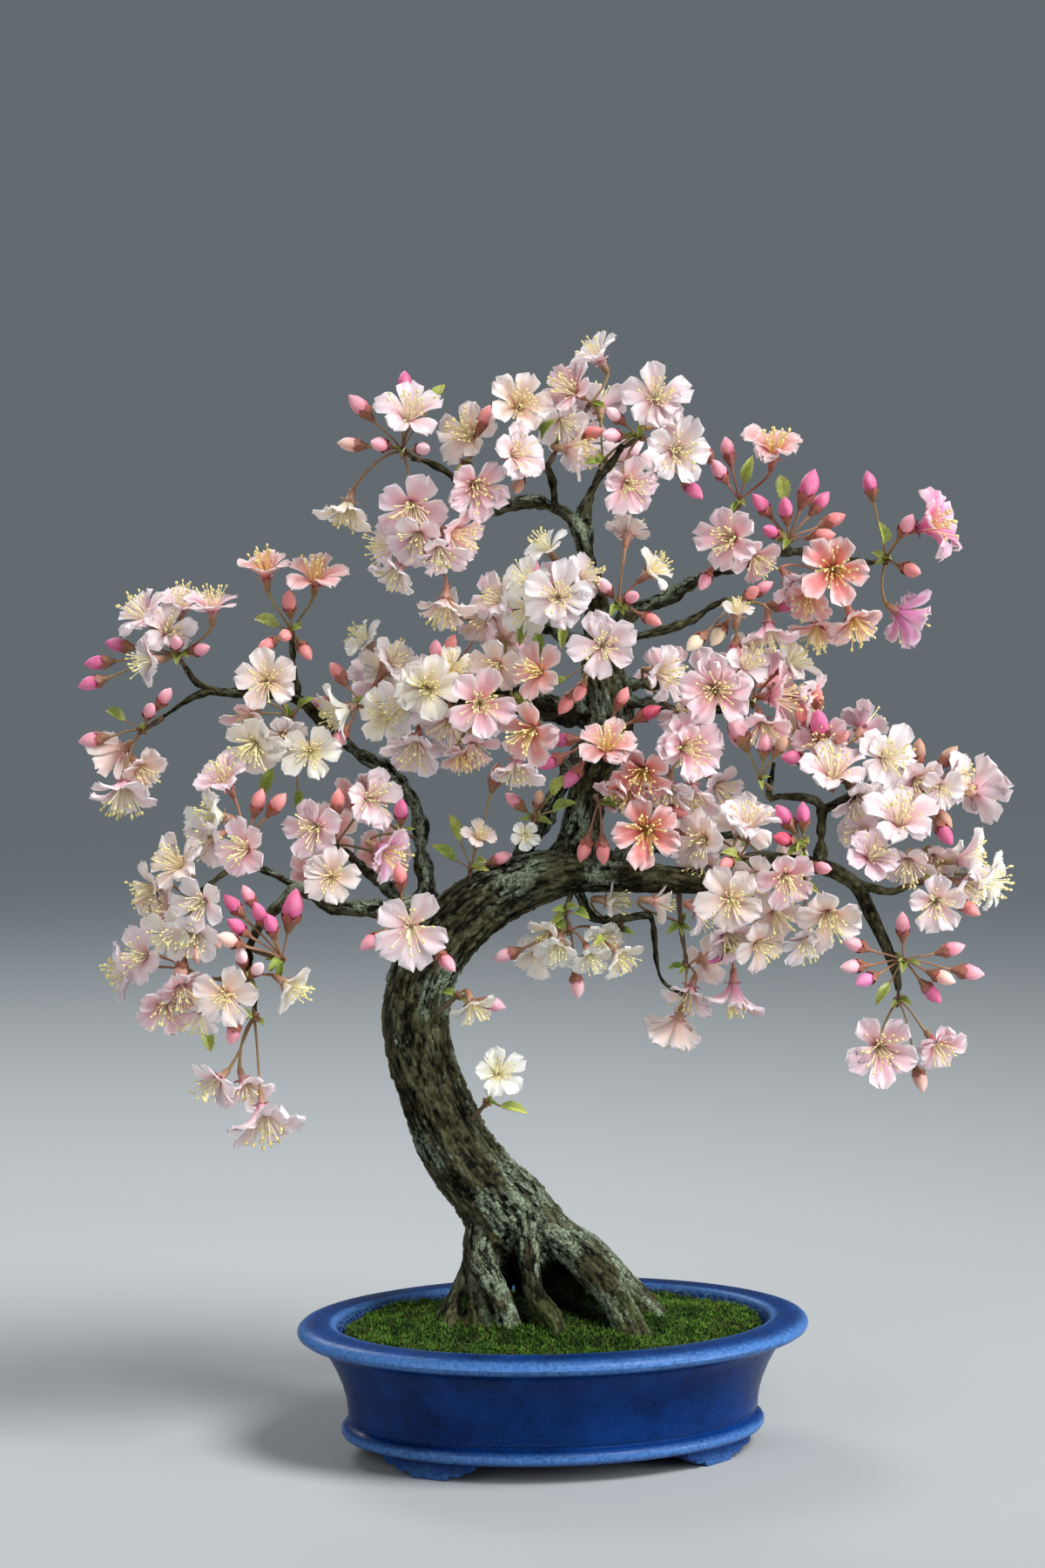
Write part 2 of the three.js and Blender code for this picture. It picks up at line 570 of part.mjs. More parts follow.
    twigs: [[[71, 257, 14], [70, 246, 16], [78, 227, 12]]],
    blooms: [[79.6, 206.7, 10, 30, 0, -75], [64, 242, 24, 22, 60, -20]],
    buds: [[72, 222, 16, 9]],
    leaves: [],
  },
  {
    name: "spray_right_limb_inner", tone: "peach",
    twigs: [[[55, 255.5, 12], [56, 236, 8], [59, 217, 5]]],
    blooms: [[67, 220, -2, 24, 150, -10], [54.6, 192, 4, 27, -150, -50], [41, 248, 24, 16, 30, 20]],
    buds: [],
    leaves: [],
  },
  {
    name: "spray_right_branch_tip", tone: "pink",
    twigs: [[[96, 296, 6], [91, 300, 11]]],
    blooms: [],
    buds: [[93, 316, 14, 8], [100, 316, 16, 8], [81, 323, 10, 12]],
    leaves: [],
  },
  {
    name: "spray_right_tip", tone: "rose",
    twigs: [[[152.8, 209, -1], [153, 202, -2]]],
    blooms: [[144.6, 180.8, 10, 33, 0, 0], [169.6, 182.6, 2, 26, 30, -30]],
    buds: [[163, 166, -2, 9]],
    leaves: [],
  },
  {
    name: "spray_right_tip_fan", tone: "rose",
    twigs: [[[149.5, 220, 2], [155, 219, 6]]],
    blooms: [],
    buds: [
      [154.5, 236, 8, 9], [133, 227, 12, 9], [132, 217, 14, 9], [138, 211, 18, 9], [177, 225, 4, 9],
      [185, 214.4, 2, 10], [173, 212, 12, 9], [168, 205, 8, 9],
    ],
    leaves: [[146, 205, 10, 12]],
  },
  {
    name: "spray_under_limb_left", tone: "cream",
    twigs: [[[9, 253, 4], [5, 242, 8], [7, 233, 9]]],
    blooms: [[-7.4, 224, 0, 24, 180, -40], [2, 226, 20, 20, -10, -40], [15.5, 222, 18, 20, 20, -40]],
    buds: [[10, 208, 8, 9], [-22, 222, 6, 9]],
    leaves: [[12, 240, 20, 12]],
  },
  {
    name: "spray_under_limb_right", tone: "cream",
    twigs: [[[30, 238.6, 13], [29, 233, 6]]],
    blooms: [[32, 223, 14, 22, 120, -10], [24, 250, -2, 24, 180, -10]],
    buds: [],
    leaves: [[20, 228, 26, 12]],
  },
  {
    name: "spray_back_crown", tone: "blush",
    twigs: [[[18, 432, -35], [21, 440, -42]]],
    blooms: [
      [10, 448, -52, 28, 165, 10], [34, 440, -54, 28, -170, 0], [20, 464, -46, 26, 180, 45],
      [46, 458, -38, 26, 130, 20],
    ],
    buds: [],
    leaves: [],
  },
  {
    name: "spray_back_upper", tone: "pink",
    twigs: [[[-10, 372, -57], [-17, 376, -66]]],
    blooms: [[-24, 379, -82, 28, -165, 0], [2, 383, -76, 28, 160, 10], [-20, 360, -70, 26, -175, -30]],
    buds: [[-10, 392, -70, 9]],
    leaves: [],
  },
  {
    name: "spray_back_right", tone: "pink",
    twigs: [[[70, 339, -54], [77, 338, -62]]],
    blooms: [
      [71, 344, -80, 30, 175, 10], [96, 344, -66, 28, 140, 10], [62, 318, -64, 28, -175, -20],
      [50, 347, -62, 26, -150, 15],
    ],
    buds: [[80, 320, -70, 9]],
    leaves: [],
  },
  {
    name: "spray_back_left", tone: "blush",
    twigs: [[[-50, 335.7, -53], [-57, 336, -60]]],
    blooms: [
      [-56, 341, -74, 30, -175, 5], [-32, 333, -66, 28, 165, -5], [-79, 345, -60, 26, -140, 15],
      [-62, 316, -62, 26, -170, -40],
    ],
    buds: [],
    leaves: [],
  },
  {
    name: "spray_back_lower_right", tone: "peach",
    twigs: [[[74, 275.2, -53], [81, 275, -60]]],
    blooms: [
      [84, 279, -78, 30, 175, 5], [62, 276, -68, 28, -160, 10], [102, 262, -60, 26, 145, -10],
      [76, 252, -62, 26, 180, -40],
    ],
    buds: [],
    leaves: [],
  },
  {
    name: "spray_back_lower_left", tone: "coral",
    twigs: [[[-91.5, 267.3, -42], [-97, 271, -48]]],
    blooms: [
      [-101, 276, -62, 28, -175, 5], [-78, 268, -56, 28, 160, -10], [-105, 258, -48, 26, -150, -30],
      [-86, 290, -48, 26, 170, 30],
    ],
    buds: [],
    leaves: [],
  },
];

// ---------------------------------------------------------------- places and directions

const UP = new THREE.Vector3(0, 0, 1);

// How much larger or smaller a piece is that keeps its look in the front view, so far forward.
function reachScale(forward) {
  return (-FRONT_EYE.y - forward) / -FRONT_EYE.y;
}

function place([across, up, forward]) {
  const sightline = new THREE.Vector3(across, 0, up).sub(FRONT_EYE).multiplyScalar(reachScale(forward));
  return sightline.add(FRONT_EYE).applyAxisAngle(UP, FRONT_TURN);
}

function facing(turnDegrees, tiltDegrees) {
  const turn = THREE.MathUtils.degToRad(turnDegrees);
  const tilt = THREE.MathUtils.degToRad(tiltDegrees);
  const level = new THREE.Vector3(Math.sin(turn), -Math.cos(turn), 0).multiplyScalar(Math.cos(tilt));
  return level.setZ(Math.sin(tilt)).applyAxisAngle(UP, FRONT_TURN);
}

// A seeded generator of draws between 0 and 1.
function drawsFrom(seed) {
  let state = seed;
  return () => {
    state = (state + 0x6d2b79f5) | 0;
    let mixed = Math.imul(state ^ (state >>> 15), 1 | state);
    mixed = (mixed + Math.imul(mixed ^ (mixed >>> 7), 61 | mixed)) ^ mixed;
    return ((mixed ^ (mixed >>> 14)) >>> 0) / 4294967296;
  };
}

// ---------------------------------------------------------------- closed surfaces and solids

// The triangles between two rings that start at the same angle, with any number of points each.
function bridge(inner, outer, faces) {
  let i = 0;
  let j = 0;
  while (i < inner.length || j < outer.length) {
    const innerDone = i >= inner.length || inner.length === 1;
    const outerNext = (j + 1) / outer.length <= (i + 1) / inner.length;
    const stepOuter = outer.length > 1 && j < outer.length && (innerDone || outerNext);
    if (stepOuter) {
      faces.push(inner[i % inner.length], outer[(j + 1) % outer.length], outer[j % outer.length]);
      j += 1;
    } else if (innerDone) {
      return;
    } else {
      faces.push(inner[i % inner.length], inner[(i + 1) % inner.length], outer[j % outer.length]);
      i += 1;
      if (outer.length === 1 && i === inner.length) return;
    }
  }
}

// A closed surface through rings of points that run counterclockwise about the way they follow each
// other. A ring of one point is a tip, and a wider end ring is closed flat.
function skin(rings) {
  const positions = rings.flat().flatMap((point) => point.toArray());
  const faces = [];
  let first = 0;
  const indexed = rings.map((ring) => ring.map(() => first++));
  for (let k = 0; k + 1 < indexed.length; k += 1) bridge(indexed[k], indexed[k + 1], faces);
  const start = indexed[0];
  const end = indexed.at(-1);
  for (let k = 1; k + 1 < start.length; k += 1) faces.push(start[0], start[k + 1], start[k]);
  for (let k = 1; k + 1 < end.length; k += 1) faces.push(end[0], end[k], end[k + 1]);
  const geometry = new THREE.BufferGeometry();
  geometry.setAttribute("position", new THREE.Float32BufferAttribute(positions, 3));
  geometry.setIndex(faces);
  return geometry;
}

function solidOf(geometry) {
  const bare = geometry.clone();
  bare.deleteAttribute("normal");
  bare.deleteAttribute("uv");
  const welded = mergeVertices(bare, WELD);
  const mesh = new wasm.Mesh({
    numProp: 3,
    vertProperties: welded.getAttribute("position").array,
    triVerts: new Uint32Array(welded.index.array),
  });
  return new wasm.Manifold(mesh);
}

function geometryOf(solid) {
  const { vertProperties, triVerts } = solid.getMesh();
  const geometry = new THREE.BufferGeometry();
  geometry.setAttribute("position", new THREE.BufferAttribute(new Float32Array(vertProperties), 3));
  geometry.setIndex(new THREE.BufferAttribute(new Uint32Array(triVerts), 1));
  const shaded = geometry.toNonIndexed();
  shaded.computeVertexNormals();
  return shaded;
}

function joined(solids) {
  return solids.reduce((whole, solid) => whole.add(solid));
}

function tidied(solid) {
  return solid.asOriginal().simplify(JOINT_FACET);
}

function largestBody(solid) {
  return solid.decompose().reduce((best, body) => (body.volume() > best.volume() ? body : best));
}

// ---------------------------------------------------------------- rings and tubes

// A ring of points round a centre, square to an axis, with its first point towards a hint.
function ring(centre, axis, hint, radii) {
  const across = hint.clone().addScaledVector(axis, -hint.dot(axis)).normalize();
  const beside = new THREE.Vector3().crossVectors(axis, across);
  return radii.map((radius, k) => {
    const angle = (2 * Math.PI * k) / radii.length;
    return centre
      .clone()
      .addScaledVector(across, radius * Math.cos(angle))
      .addScaledVector(beside, radius * Math.sin(angle));
  });
}

// A direction turned as one axis turns into another, so that rings along a bend don't twist.
function carried(direction, from, to) {
  return direction.clone().applyQuaternion(new THREE.Quaternion().setFromUnitVectors(from, to));
}

// Old wood swells in ridges that wind slowly up a limb.
function ridged(radius, ridges, station, side, sides) {
  const angle = (2 * Math.PI * side) / sides;
  const swell = RIDGES.reduce(
    (sum, [turns, winding, strength]) => sum + strength * Math.sin(turns * angle + winding * station),
    0,
  );
  return radius * (1 + ridges * swell);
}

// A tapering limb through a row of [across, up, forward, radius], thicker all round by `extra`.
function limb(route, { sides, ridges = 0 }, extra = 0) {
  const centres = route.map(place);
  let hint = LIMB_HINT;
  let axis = centres[1].clone().sub(centres[0]).normalize();
  const rings = centres.map((centre, k) => {
    const before = centres[Math.max(k - 1, 0)];
    const after = centres[Math.min(k + 1, centres.length - 1)];
    const turned = after.clone().sub(before).normalize();
    hint = carried(hint, axis, turned);
    axis = turned;
    const radius = route[k][3] * reachScale(route[k][2]);
    const radii = Array.from({ length: sides }, (_, side) => ridged(radius, ridges, k, side, sides) + extra);
    return ring(centre, axis, hint, radii);
  });
  return solidOf(skin(rings));
}

function treeSolid(extra = 0) {
  const woody = LIMBS.map(({ route, ...look }) => limb(route, look, extra));
  const thin = TWIGS.map((route) => limb(route, THIN_WOOD, extra));
  const roots = ROOTS.map((route) => limb(route, ROOT_WOOD, extra));
  return tidied(joined([...woody, ...thin, ...roots]));
}

// ---------------------------------------------------------------- blooms, buds and leaves

// A bloom with its calyx and stalk in one surface, from a point inside its twig.
function bloom([across, up, forward, width, turn, tilt], hubs, draw) {
  const scale = reachScale(forward);
  const radius = (width / 2) * scale;
  const centre = place([across, up, forward]);
  const axis = facing(turn, tilt);
  const cup = 0.6 + 0.8 * draw();
  const start = 2 * Math.PI * draw();
  const side = BLOOM_HINT.clone().cross(axis).normalize();
  const beside = new THREE.Vector3().crossVectors(axis, side);
  const spoke = (angle, reach, lift) =>
    centre
      .clone()
      .addScaledVector(side, reach * Math.cos(angle))
      .addScaledVector(beside, reach * Math.sin(angle))
      .addScaledVector(axis, lift);

  const halfPetal = Math.PI / BLOOM.petals;
  const edge = width < BLOOM.plainBelow ? BLOOM.plainEdge : BLOOM.edge;
  const rim = [];
  for (let petal = 0; petal < BLOOM.petals; petal += 1) {
    const own = 1 - BLOOM.unevenness + 2 * BLOOM.unevenness * draw();
    const middle = start + (2 * petal + 1) * halfPetal;
    for (const [share, reach, lift] of edge) {
      rim.push(spoke(middle + share * halfPetal, reach * radius * own, lift * cup * radius));
    }
  }
  const first = spoke(start, 1, 0).sub(centre);
  const mouthAt = centre.clone().addScaledVector(axis, -BLOOM.throatDepth);
  const baseAt = centre.clone().addScaledVector(axis, -BLOOM.throatDepth - BLOOM.calyxLength * scale);
  const hub = nearest(hubs, baseAt);
  const stalkWay = baseAt.clone().sub(hub).normalize();
  const bend = stalkWay.clone().add(axis).normalize();
  const baseHint = carried(first, axis, bend);
  const hubHint = carried(baseHint, bend, stalkWay);
  return solidOf(
    skin([
      ring(hub, stalkWay, hubHint, [BLOOM.stalk, BLOOM.stalk, BLOOM.stalk]),
      ring(baseAt, bend, baseHint, [BLOOM.calyxBase, BLOOM.calyxBase, BLOOM.calyxBase]),
      ring(mouthAt, axis, first, [BLOOM.calyxMouth, BLOOM.calyxMouth, BLOOM.calyxMouth]),
      rim,
      [centre],
    ]),
  );
}

function nearest(points, target) {
  return points.reduce((best, point) => (point.distanceTo(target) < best.distanceTo(target) ? point : best));
}

// A pointed bud on a straight stalk from the nearest hub.
function bud([across, up, forward, length], hubs) {
  const centre = place([across, up, forward]);
  const hub = nearest(hubs, centre);
  const axis = centre.clone().sub(hub).normalize();
  const size = length * reachScale(forward);
  const along = (share) => centre.clone().addScaledVector(axis, size * share);
  const round = (at, radius) => ring(at, axis, BUD_HINT, Array(BUD.sides).fill(radius));
  return solidOf(
    skin([
      round(hub, BUD.stalk),
      round(along(-0.5), BUD.neck),
      round(along(BUD.belly - 0.5), size * BUD.fatness),
      [along(0.5)],
    ]),
  );
}

// A thin arched leaf on its stalk, thickest along the midrib.
function leaf([across, up, forward, length], hubs) {
  const middle = place([across, up, forward]);
  const hub = nearest(hubs, middle);
  const axis = middle.clone().sub(hub).normalize();
  const size = length * reachScale(forward);
  const base = middle.clone().addScaledVector(axis, -size / 2);
  const side = new THREE.Vector3().crossVectors(axis, facing(0, LEAF.tilt)).normalize();
  const face = new THREE.Vector3().crossVectors(side, axis);
  const spot = (share, out) => {
    const rise = LEAF.arch * Math.sin(Math.PI * share);
    const midrib = base.clone().addScaledVector(axis, size * share);
    return midrib.addScaledVector(side, out).addScaledVector(face, rise);
  };
  const left = LEAF.half.map(([share, width]) => spot(share, size * width));
  const right = LEAF.half.map(([share, width]) => spot(share, -size * width)).reverse();
  const stalkHalf = LEAF.thickness / 2;
  const leftFoot = hub.clone().addScaledVector(side, stalkHalf);
  const rightFoot = hub.clone().addScaledVector(side, -stalkHalf);
  const outline = [leftFoot, ...left, spot(1, 0), ...right, rightFoot];
  const crown = spot(LEAF.thickestAt, 0).addScaledVector(face, stalkHalf);
  const keel = spot(LEAF.thickestAt, 0).addScaledVector(face, -stalkHalf);
  return solidOf(skin([[keel], outline, [crown]]));
}

function twig(route) {
  const last = route.length - 1;
  const rows = route.map((point, k) => [...point, TWIG.root + ((TWIG.tip - TWIG.root) * k) / last]);
  return limb(rows, { sides: TWIG.sides });
}

function knob(hub) {
  return solidOf(new THREE.TetrahedronGeometry(TWIG.knob).translate(hub.x, hub.y, hub.z));
}

function spraySolid({ twigs, blooms, buds, leaves }, seed, woodAndRoom) {
  const draw = drawsFrom(seed);
  const hubs = twigs.flatMap((route) => route.slice(1).map(place));
  const grown = [
    ...twigs.map(twig),
    ...hubs.map(knob),
    ...blooms.map((row) => bloom(row, hubs, draw)),
    ...buds.map((row) => bud(row, hubs)),
    ...leaves.map((row) => leaf(row, hubs)),
  ];
  return largestBody(tidied(joined(grown).subtract(woodAndRoom)));
}

// ---------------------------------------------------------------- pot, soil and moss

// A point on the oval of a half length, at a height.
function oval(halfLength, height, angle) {
  const halfWidth = Math.max(halfLength - POT.endWall, halfLength * POT.narrowest);
  return new THREE.Vector3(halfLength * Math.cos(angle), halfWidth * Math.sin(angle), height);
}

function ovalRing(halfLength, height, segments) {
  if (halfLength === 0) return [new THREE.Vector3(0, 0, height)];
  return Array.from({ length: segments }, (_, k) => oval(halfLength, height, (2 * Math.PI * k) / segments));
}

function footSolid(quarter) {
  const mirrored = FOOT.halfOutline.map(([along, height]) => [-along, height]).reverse();
  const outline = [...mirrored.slice(0, -1), ...FOOT.halfOutline.slice(1)];
  const shape = new THREE.Shape(outline.map(([along, height]) => new THREE.Vector2(along, height)));
  const geometry = new THREE.ExtrudeGeometry(shape, { depth: FOOT.depth, bevelEnabled: false });
  const angle = THREE.MathUtils.degToRad(FOOT.planAngle);
  const [signX, signY] = quarter;
  const bead = Math.max(...POT.profile.slice(0, POT.beadRows).map(([halfLength]) => halfLength)) - FOOT.inset;
  const at = oval(bead, 0, angle);
  const outward = new THREE.Vector3(at.x / bead ** 2, at.y / (bead - POT.endWall) ** 2, 0).normalize();
  at.set(at.x * signX, at.y * signY, 0);
  outward.set(outward.x * signX, outward.y * signY, 0);
  const along = new THREE.Vector3().crossVectors(UP, outward);
  const inward = outward.clone().negate();
  // the outline stands on the ground, faces along the oval and is as deep as it runs inward
  const turned = new THREE.Matrix4().makeBasis(along.clone().negate(), UP, inward).setPosition(at);
  return solidOf(geometry.applyMatrix4(turned));
}

function drainSolid(side) {
  const plug = new THREE.CylinderGeometry(DRAIN.across / 2, DRAIN.across / 2, DRAIN.length, DRAIN.sides);
  return solidOf(plug.rotateX(Math.PI / 2).translate((side * DRAIN.spacing) / 2, 0, DRAIN.height));
}

function potSolid() {
  const rings = POT.profile.map(([halfLength, height]) => ovalRing(halfLength, height, POT.segments));
  const body = solidOf(skin(rings));
  const feet = [[1, 1], [-1, 1], [-1, -1], [1, -1]].map(footSolid);
  const standing = joined([body, ...feet]);
  return [-1, 1].reduce((pot, side) => pot.subtract(drainSolid(side)), standing);
}

// The pot's inner wall at a height, from its profile.
function innerWall(height) {
  const wall = POT.profile.slice(-1 - POT.wallRows, -1);
  const upper = wall.findIndex(([, z], k) => k + 1 < wall.length && z >= height && wall[k + 1][1] <= height);
  const [[x1, z1], [x0, z0]] = [wall[upper], wall[upper + 1]];
  return x0 + ((x1 - x0) * (height - z0)) / (z1 - z0);
}

function soilSolid(rootRoom) {
  const rings = [SOIL.bottom, SOIL.middle, SOIL.top].map((height) => (
    ovalRing(innerWall(height) - 2 * GAP, height, POT.segments)
  ));
  const body = solidOf(skin(rings));
  return largestBody(tidied(body.subtract(rootRoom)));
}

// The moss is a low mound, highest round the trunk's foot, with soft lumps.
function mossHeight(share, angle) {
  const swell = (1 - share) ** MOSS.steepness;
  const height = MOSS.edgeHeight + (MOSS.moundHeight - MOSS.edgeHeight) * swell;
  if (share === 1) return height;
  return MOSS.lumpWaves.reduce(
    (sum, [turns, outward]) => sum + MOSS.lump * Math.sin(turns * angle + outward * share),
    height,
  );
}

function mossSolid(rootRoom) {
  const [moundX, moundY] = MOSS.moundPlace;
  const under = ovalRing(MOSS.edge, SOIL.top + GAP, POT.segments);
  const rings = [under];
  for (let k = 0; k < MOSS.rings; k += 1) {
    const share = 1 - k / MOSS.rings;
    rings.push(
      Array.from({ length: POT.segments }, (_, j) => {
        const angle = (2 * Math.PI * j) / POT.segments;
        const rim = oval(MOSS.edge, 0, angle);
        return new THREE.Vector3(
          rim.x * share + moundX * (1 - share),
          rim.y * share + moundY * (1 - share),
          mossHeight(share, angle),
        );
      }),
    );
  }
  rings.push([new THREE.Vector3(moundX, moundY, MOSS.moundHeight)]);
  return largestBody(tidied(solidOf(skin(rings)).subtract(rootRoom)));
}

// ---------------------------------------------------------------- the bonsai

const bonsai = new THREE.Group();
bonsai.name = "cherry_blossom_bonsai";

function addPiece(name, solid, look) {
  const mesh = new THREE.Mesh(geometryOf(solid), new THREE.MeshStandardMaterial(look));
  mesh.name = name;
  bonsai.add(mesh);
}

const tree = treeSolid();
const treeWithRoom = treeSolid(GAP);

addPiece("pot", potSolid(), { color: PALETTE.glaze, roughness: 0.25, metalness: 0 });
addPiece("soil", soilSolid(treeWithRoom), { color: PALETTE.soil, roughness: 0.95, metalness: 0 });
addPiece("moss", mossSolid(treeWithRoom), { color: PALETTE.moss, roughness: 0.9, metalness: 0 });
addPiece("trunk", tree, { color: PALETTE.bark, roughness: 0.85, metalness: 0 });
SPRAYS.forEach((spray, k) => {
  const solid = spraySolid(spray, k + 1, treeWithRoom);
  addPiece(spray.name, solid, { color: PALETTE[spray.tone], roughness: 0.6, metalness: 0 });
});

export default bonsai;
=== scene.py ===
"""Dresses the cherry blossom bonsai: bark, moss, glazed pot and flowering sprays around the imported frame.

Layout points are rows of [across, up, forward] in millimetres, as the tree is seen from its front, and
everything that is built from them is in metres.
"""

from __future__ import annotations

import logging
import math
from collections.abc import Callable, Iterable, Sequence
from dataclasses import dataclass, field
from enum import Enum, IntEnum
from typing import ClassVar

import bmesh
import bpy
import numpy as np
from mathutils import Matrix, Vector, noise


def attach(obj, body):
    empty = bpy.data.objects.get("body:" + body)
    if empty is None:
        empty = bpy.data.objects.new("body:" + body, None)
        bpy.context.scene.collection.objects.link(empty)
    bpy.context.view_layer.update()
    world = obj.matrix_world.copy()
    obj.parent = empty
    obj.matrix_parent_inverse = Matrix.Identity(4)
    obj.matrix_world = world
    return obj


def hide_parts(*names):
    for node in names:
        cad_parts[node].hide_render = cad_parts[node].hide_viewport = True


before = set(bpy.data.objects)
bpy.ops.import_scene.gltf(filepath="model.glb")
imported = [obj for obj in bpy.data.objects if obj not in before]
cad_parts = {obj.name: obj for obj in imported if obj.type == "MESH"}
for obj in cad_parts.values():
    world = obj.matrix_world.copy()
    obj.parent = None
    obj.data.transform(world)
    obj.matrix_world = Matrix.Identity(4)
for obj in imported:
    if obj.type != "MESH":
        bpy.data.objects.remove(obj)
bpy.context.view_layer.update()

log = logging.getLogger("bonsai")

MM = 0.001
FRONT_TURN = math.radians(-12)  # the tree's front is turned from the pot's long side by this angle
FRONT_EYE = np.array((-14.2, -1632.2, 432.6))
UP = np.array((0.0, 0.0, 1.0))
WORD = 0xFFFFFFFF
NOISE_SEED = 5  # without a seed, the bark's wander would change with the clock

Row = tuple[float, ...]
Route = tuple[Row, ...]
Colour = tuple[float, float, float]
Array = np.ndarray
Piece = bpy.types.Object
Material = bpy.types.Material
Socket = bpy.types.NodeSocket
Feed = Socket | str | float | Colour


# ---- places, directions and draws


def turned(points: Array) -> Array:
    """Points or directions turned from the tree's front view to the frame."""
    cos, sin = math.cos(FRONT_TURN), math.sin(FRONT_TURN)
    return points @ np.array(((cos, sin, 0), (-sin, cos, 0), (0, 0, 1)))


def reach_scale(forward: float) -> float:
    """How much larger or smaller a piece is that keeps its look in the front view, so far forward."""
    return (-FRONT_EYE[1] - forward) / -FRONT_EYE[1]


def place(rows: Iterable[Row]) -> Array:
    """Turns layout rows into points of the frame.

    Args:
        rows: Rows that begin with [across, up, forward], in millimetres.

    Returns:
        One point a row, in metres.
    """
    found = [
        (np.array((across, 0.0, up)) - FRONT_EYE) * reach_scale(forward) + FRONT_EYE
        for across, up, forward, *_ in rows
    ]
    return turned(np.array(found)) * MM


def facing(turn: float, tilt: float) -> Array:
    """The direction of a bloom that is turned right and tilted up from the front, in degrees."""
    turn, tilt = math.radians(turn), math.radians(tilt)
    level = math.cos(tilt)
    return turned(np.array((math.sin(turn) * level, -math.cos(turn) * level, math.sin(tilt))))


def unit(vector: Array) -> Array:
    """The vector at length one."""
    return vector / max(np.linalg.norm(vector), 1e-12)


def draws_from(seed: int) -> Callable[[], float]:
    """A seeded generator of draws between 0 and 1, the one that turns the sprays' petals.

    Args:
        seed: Where the draws start.

    Returns:
        The function that draws.
    """
    state = seed

    def draw() -> float:
        """The next draw.

        Returns:
            A number from 0 to 1.
        """
        nonlocal state
        state = (state + 0x6D2B79F5) & WORD
        mixed = ((state ^ (state >> 15)) * (1 | state)) & WORD
        mixed = ((mixed + (((mixed ^ (mixed >> 7)) * (61 | mixed)) & WORD)) & WORD) ^ mixed
        return (mixed ^ (mixed >> 14)) / 2**32

    return draw


def linear(code: str) -> Array:
    """A colour such as "#f4cdd3" as linear red, green and blue."""
    parts = np.array([int(code[k : k + 2], 16) / 255 for k in (1, 3, 5)])
    return np.where(parts <= 0.04045, parts / 12.92, ((parts + 0.055) / 1.055) ** 2.4)


def eased(values: Array, low: float, high: float) -> Array:
    """Values as a smooth step from 0 at low to 1 at high."""
    share = np.clip((values - low) / (high - low), 0, 1)
    return share * share * (3 - 2 * share)


def blended(first: Array, second: Array, share: Array) -> Array:
    """Colours mixed by a share for each point."""
    share = np.asarray(share)[..., None]
    return first * (1 - share) + second * share


# ---- colours of the flowers


class Tone(Enum):
    """The colours of a bloom: its petals, its throat and its stamens."""

    BLUSH = ("#fbdadf", "#ea93a4", "#f9f3d8")
    WHITE = ("#f4efe6", "#ece6bc", "#f9f3d6")
    SNOW = ("#fbeaec", "#f3aeb9", "#f9f3d6")
    CREAM = ("#fbeedb", "#e8cd9c", "#f6edc4")
    PEACH = ("#fbdcd2", "#eba492", "#f7edc8")
    PINK = ("#f9bfca", "#e37790", "#f8efcc")
    MAUVE = ("#f2c2cf", "#d47d9c", "#f8efce")
    CORAL = ("#f1a3a2", "#da736c", "#f4dd9a")
    SALMON = ("#ef908e", "#d95f5a", "#f4dc92")
    ROSE = ("#ea80ab", "#ca4a84", "#f3e0a4")
    ORCHID = ("#e998c4", "#ca5e9e", "#f3e2ac")
    CRIMSON = ("#dc5673", "#b5385a", "#f0d98c")
    TAN = ("#d0a68c", "#a5735a", "#ecd79a")

    def __init__(self, petal: str, throat: str, stamen: str) -> None:
        """Reads the tone's colour codes."""
        self.petal, self.throat, self.stamen = linear(petal), linear(throat), linear(stamen)


@dataclass(frozen=True)
class Spray:
    """One flowering spray's layout.

    twigs are rows of [across, up, forward], blooms of [across, up, forward, width, turn to the right,
    tilt up, tone], buds of [across, up, forward, length, tone], leaves of [across, up, forward, length].
    A bloom or bud without a tone has the spray's own.
    """

    name: str
    tone: Tone
    twigs: tuple[Route, ...]
    blooms: tuple[tuple, ...] = ()
    buds: tuple[tuple, ...] = ()
    leaves: tuple[Row, ...] = ()


# ---- the layout

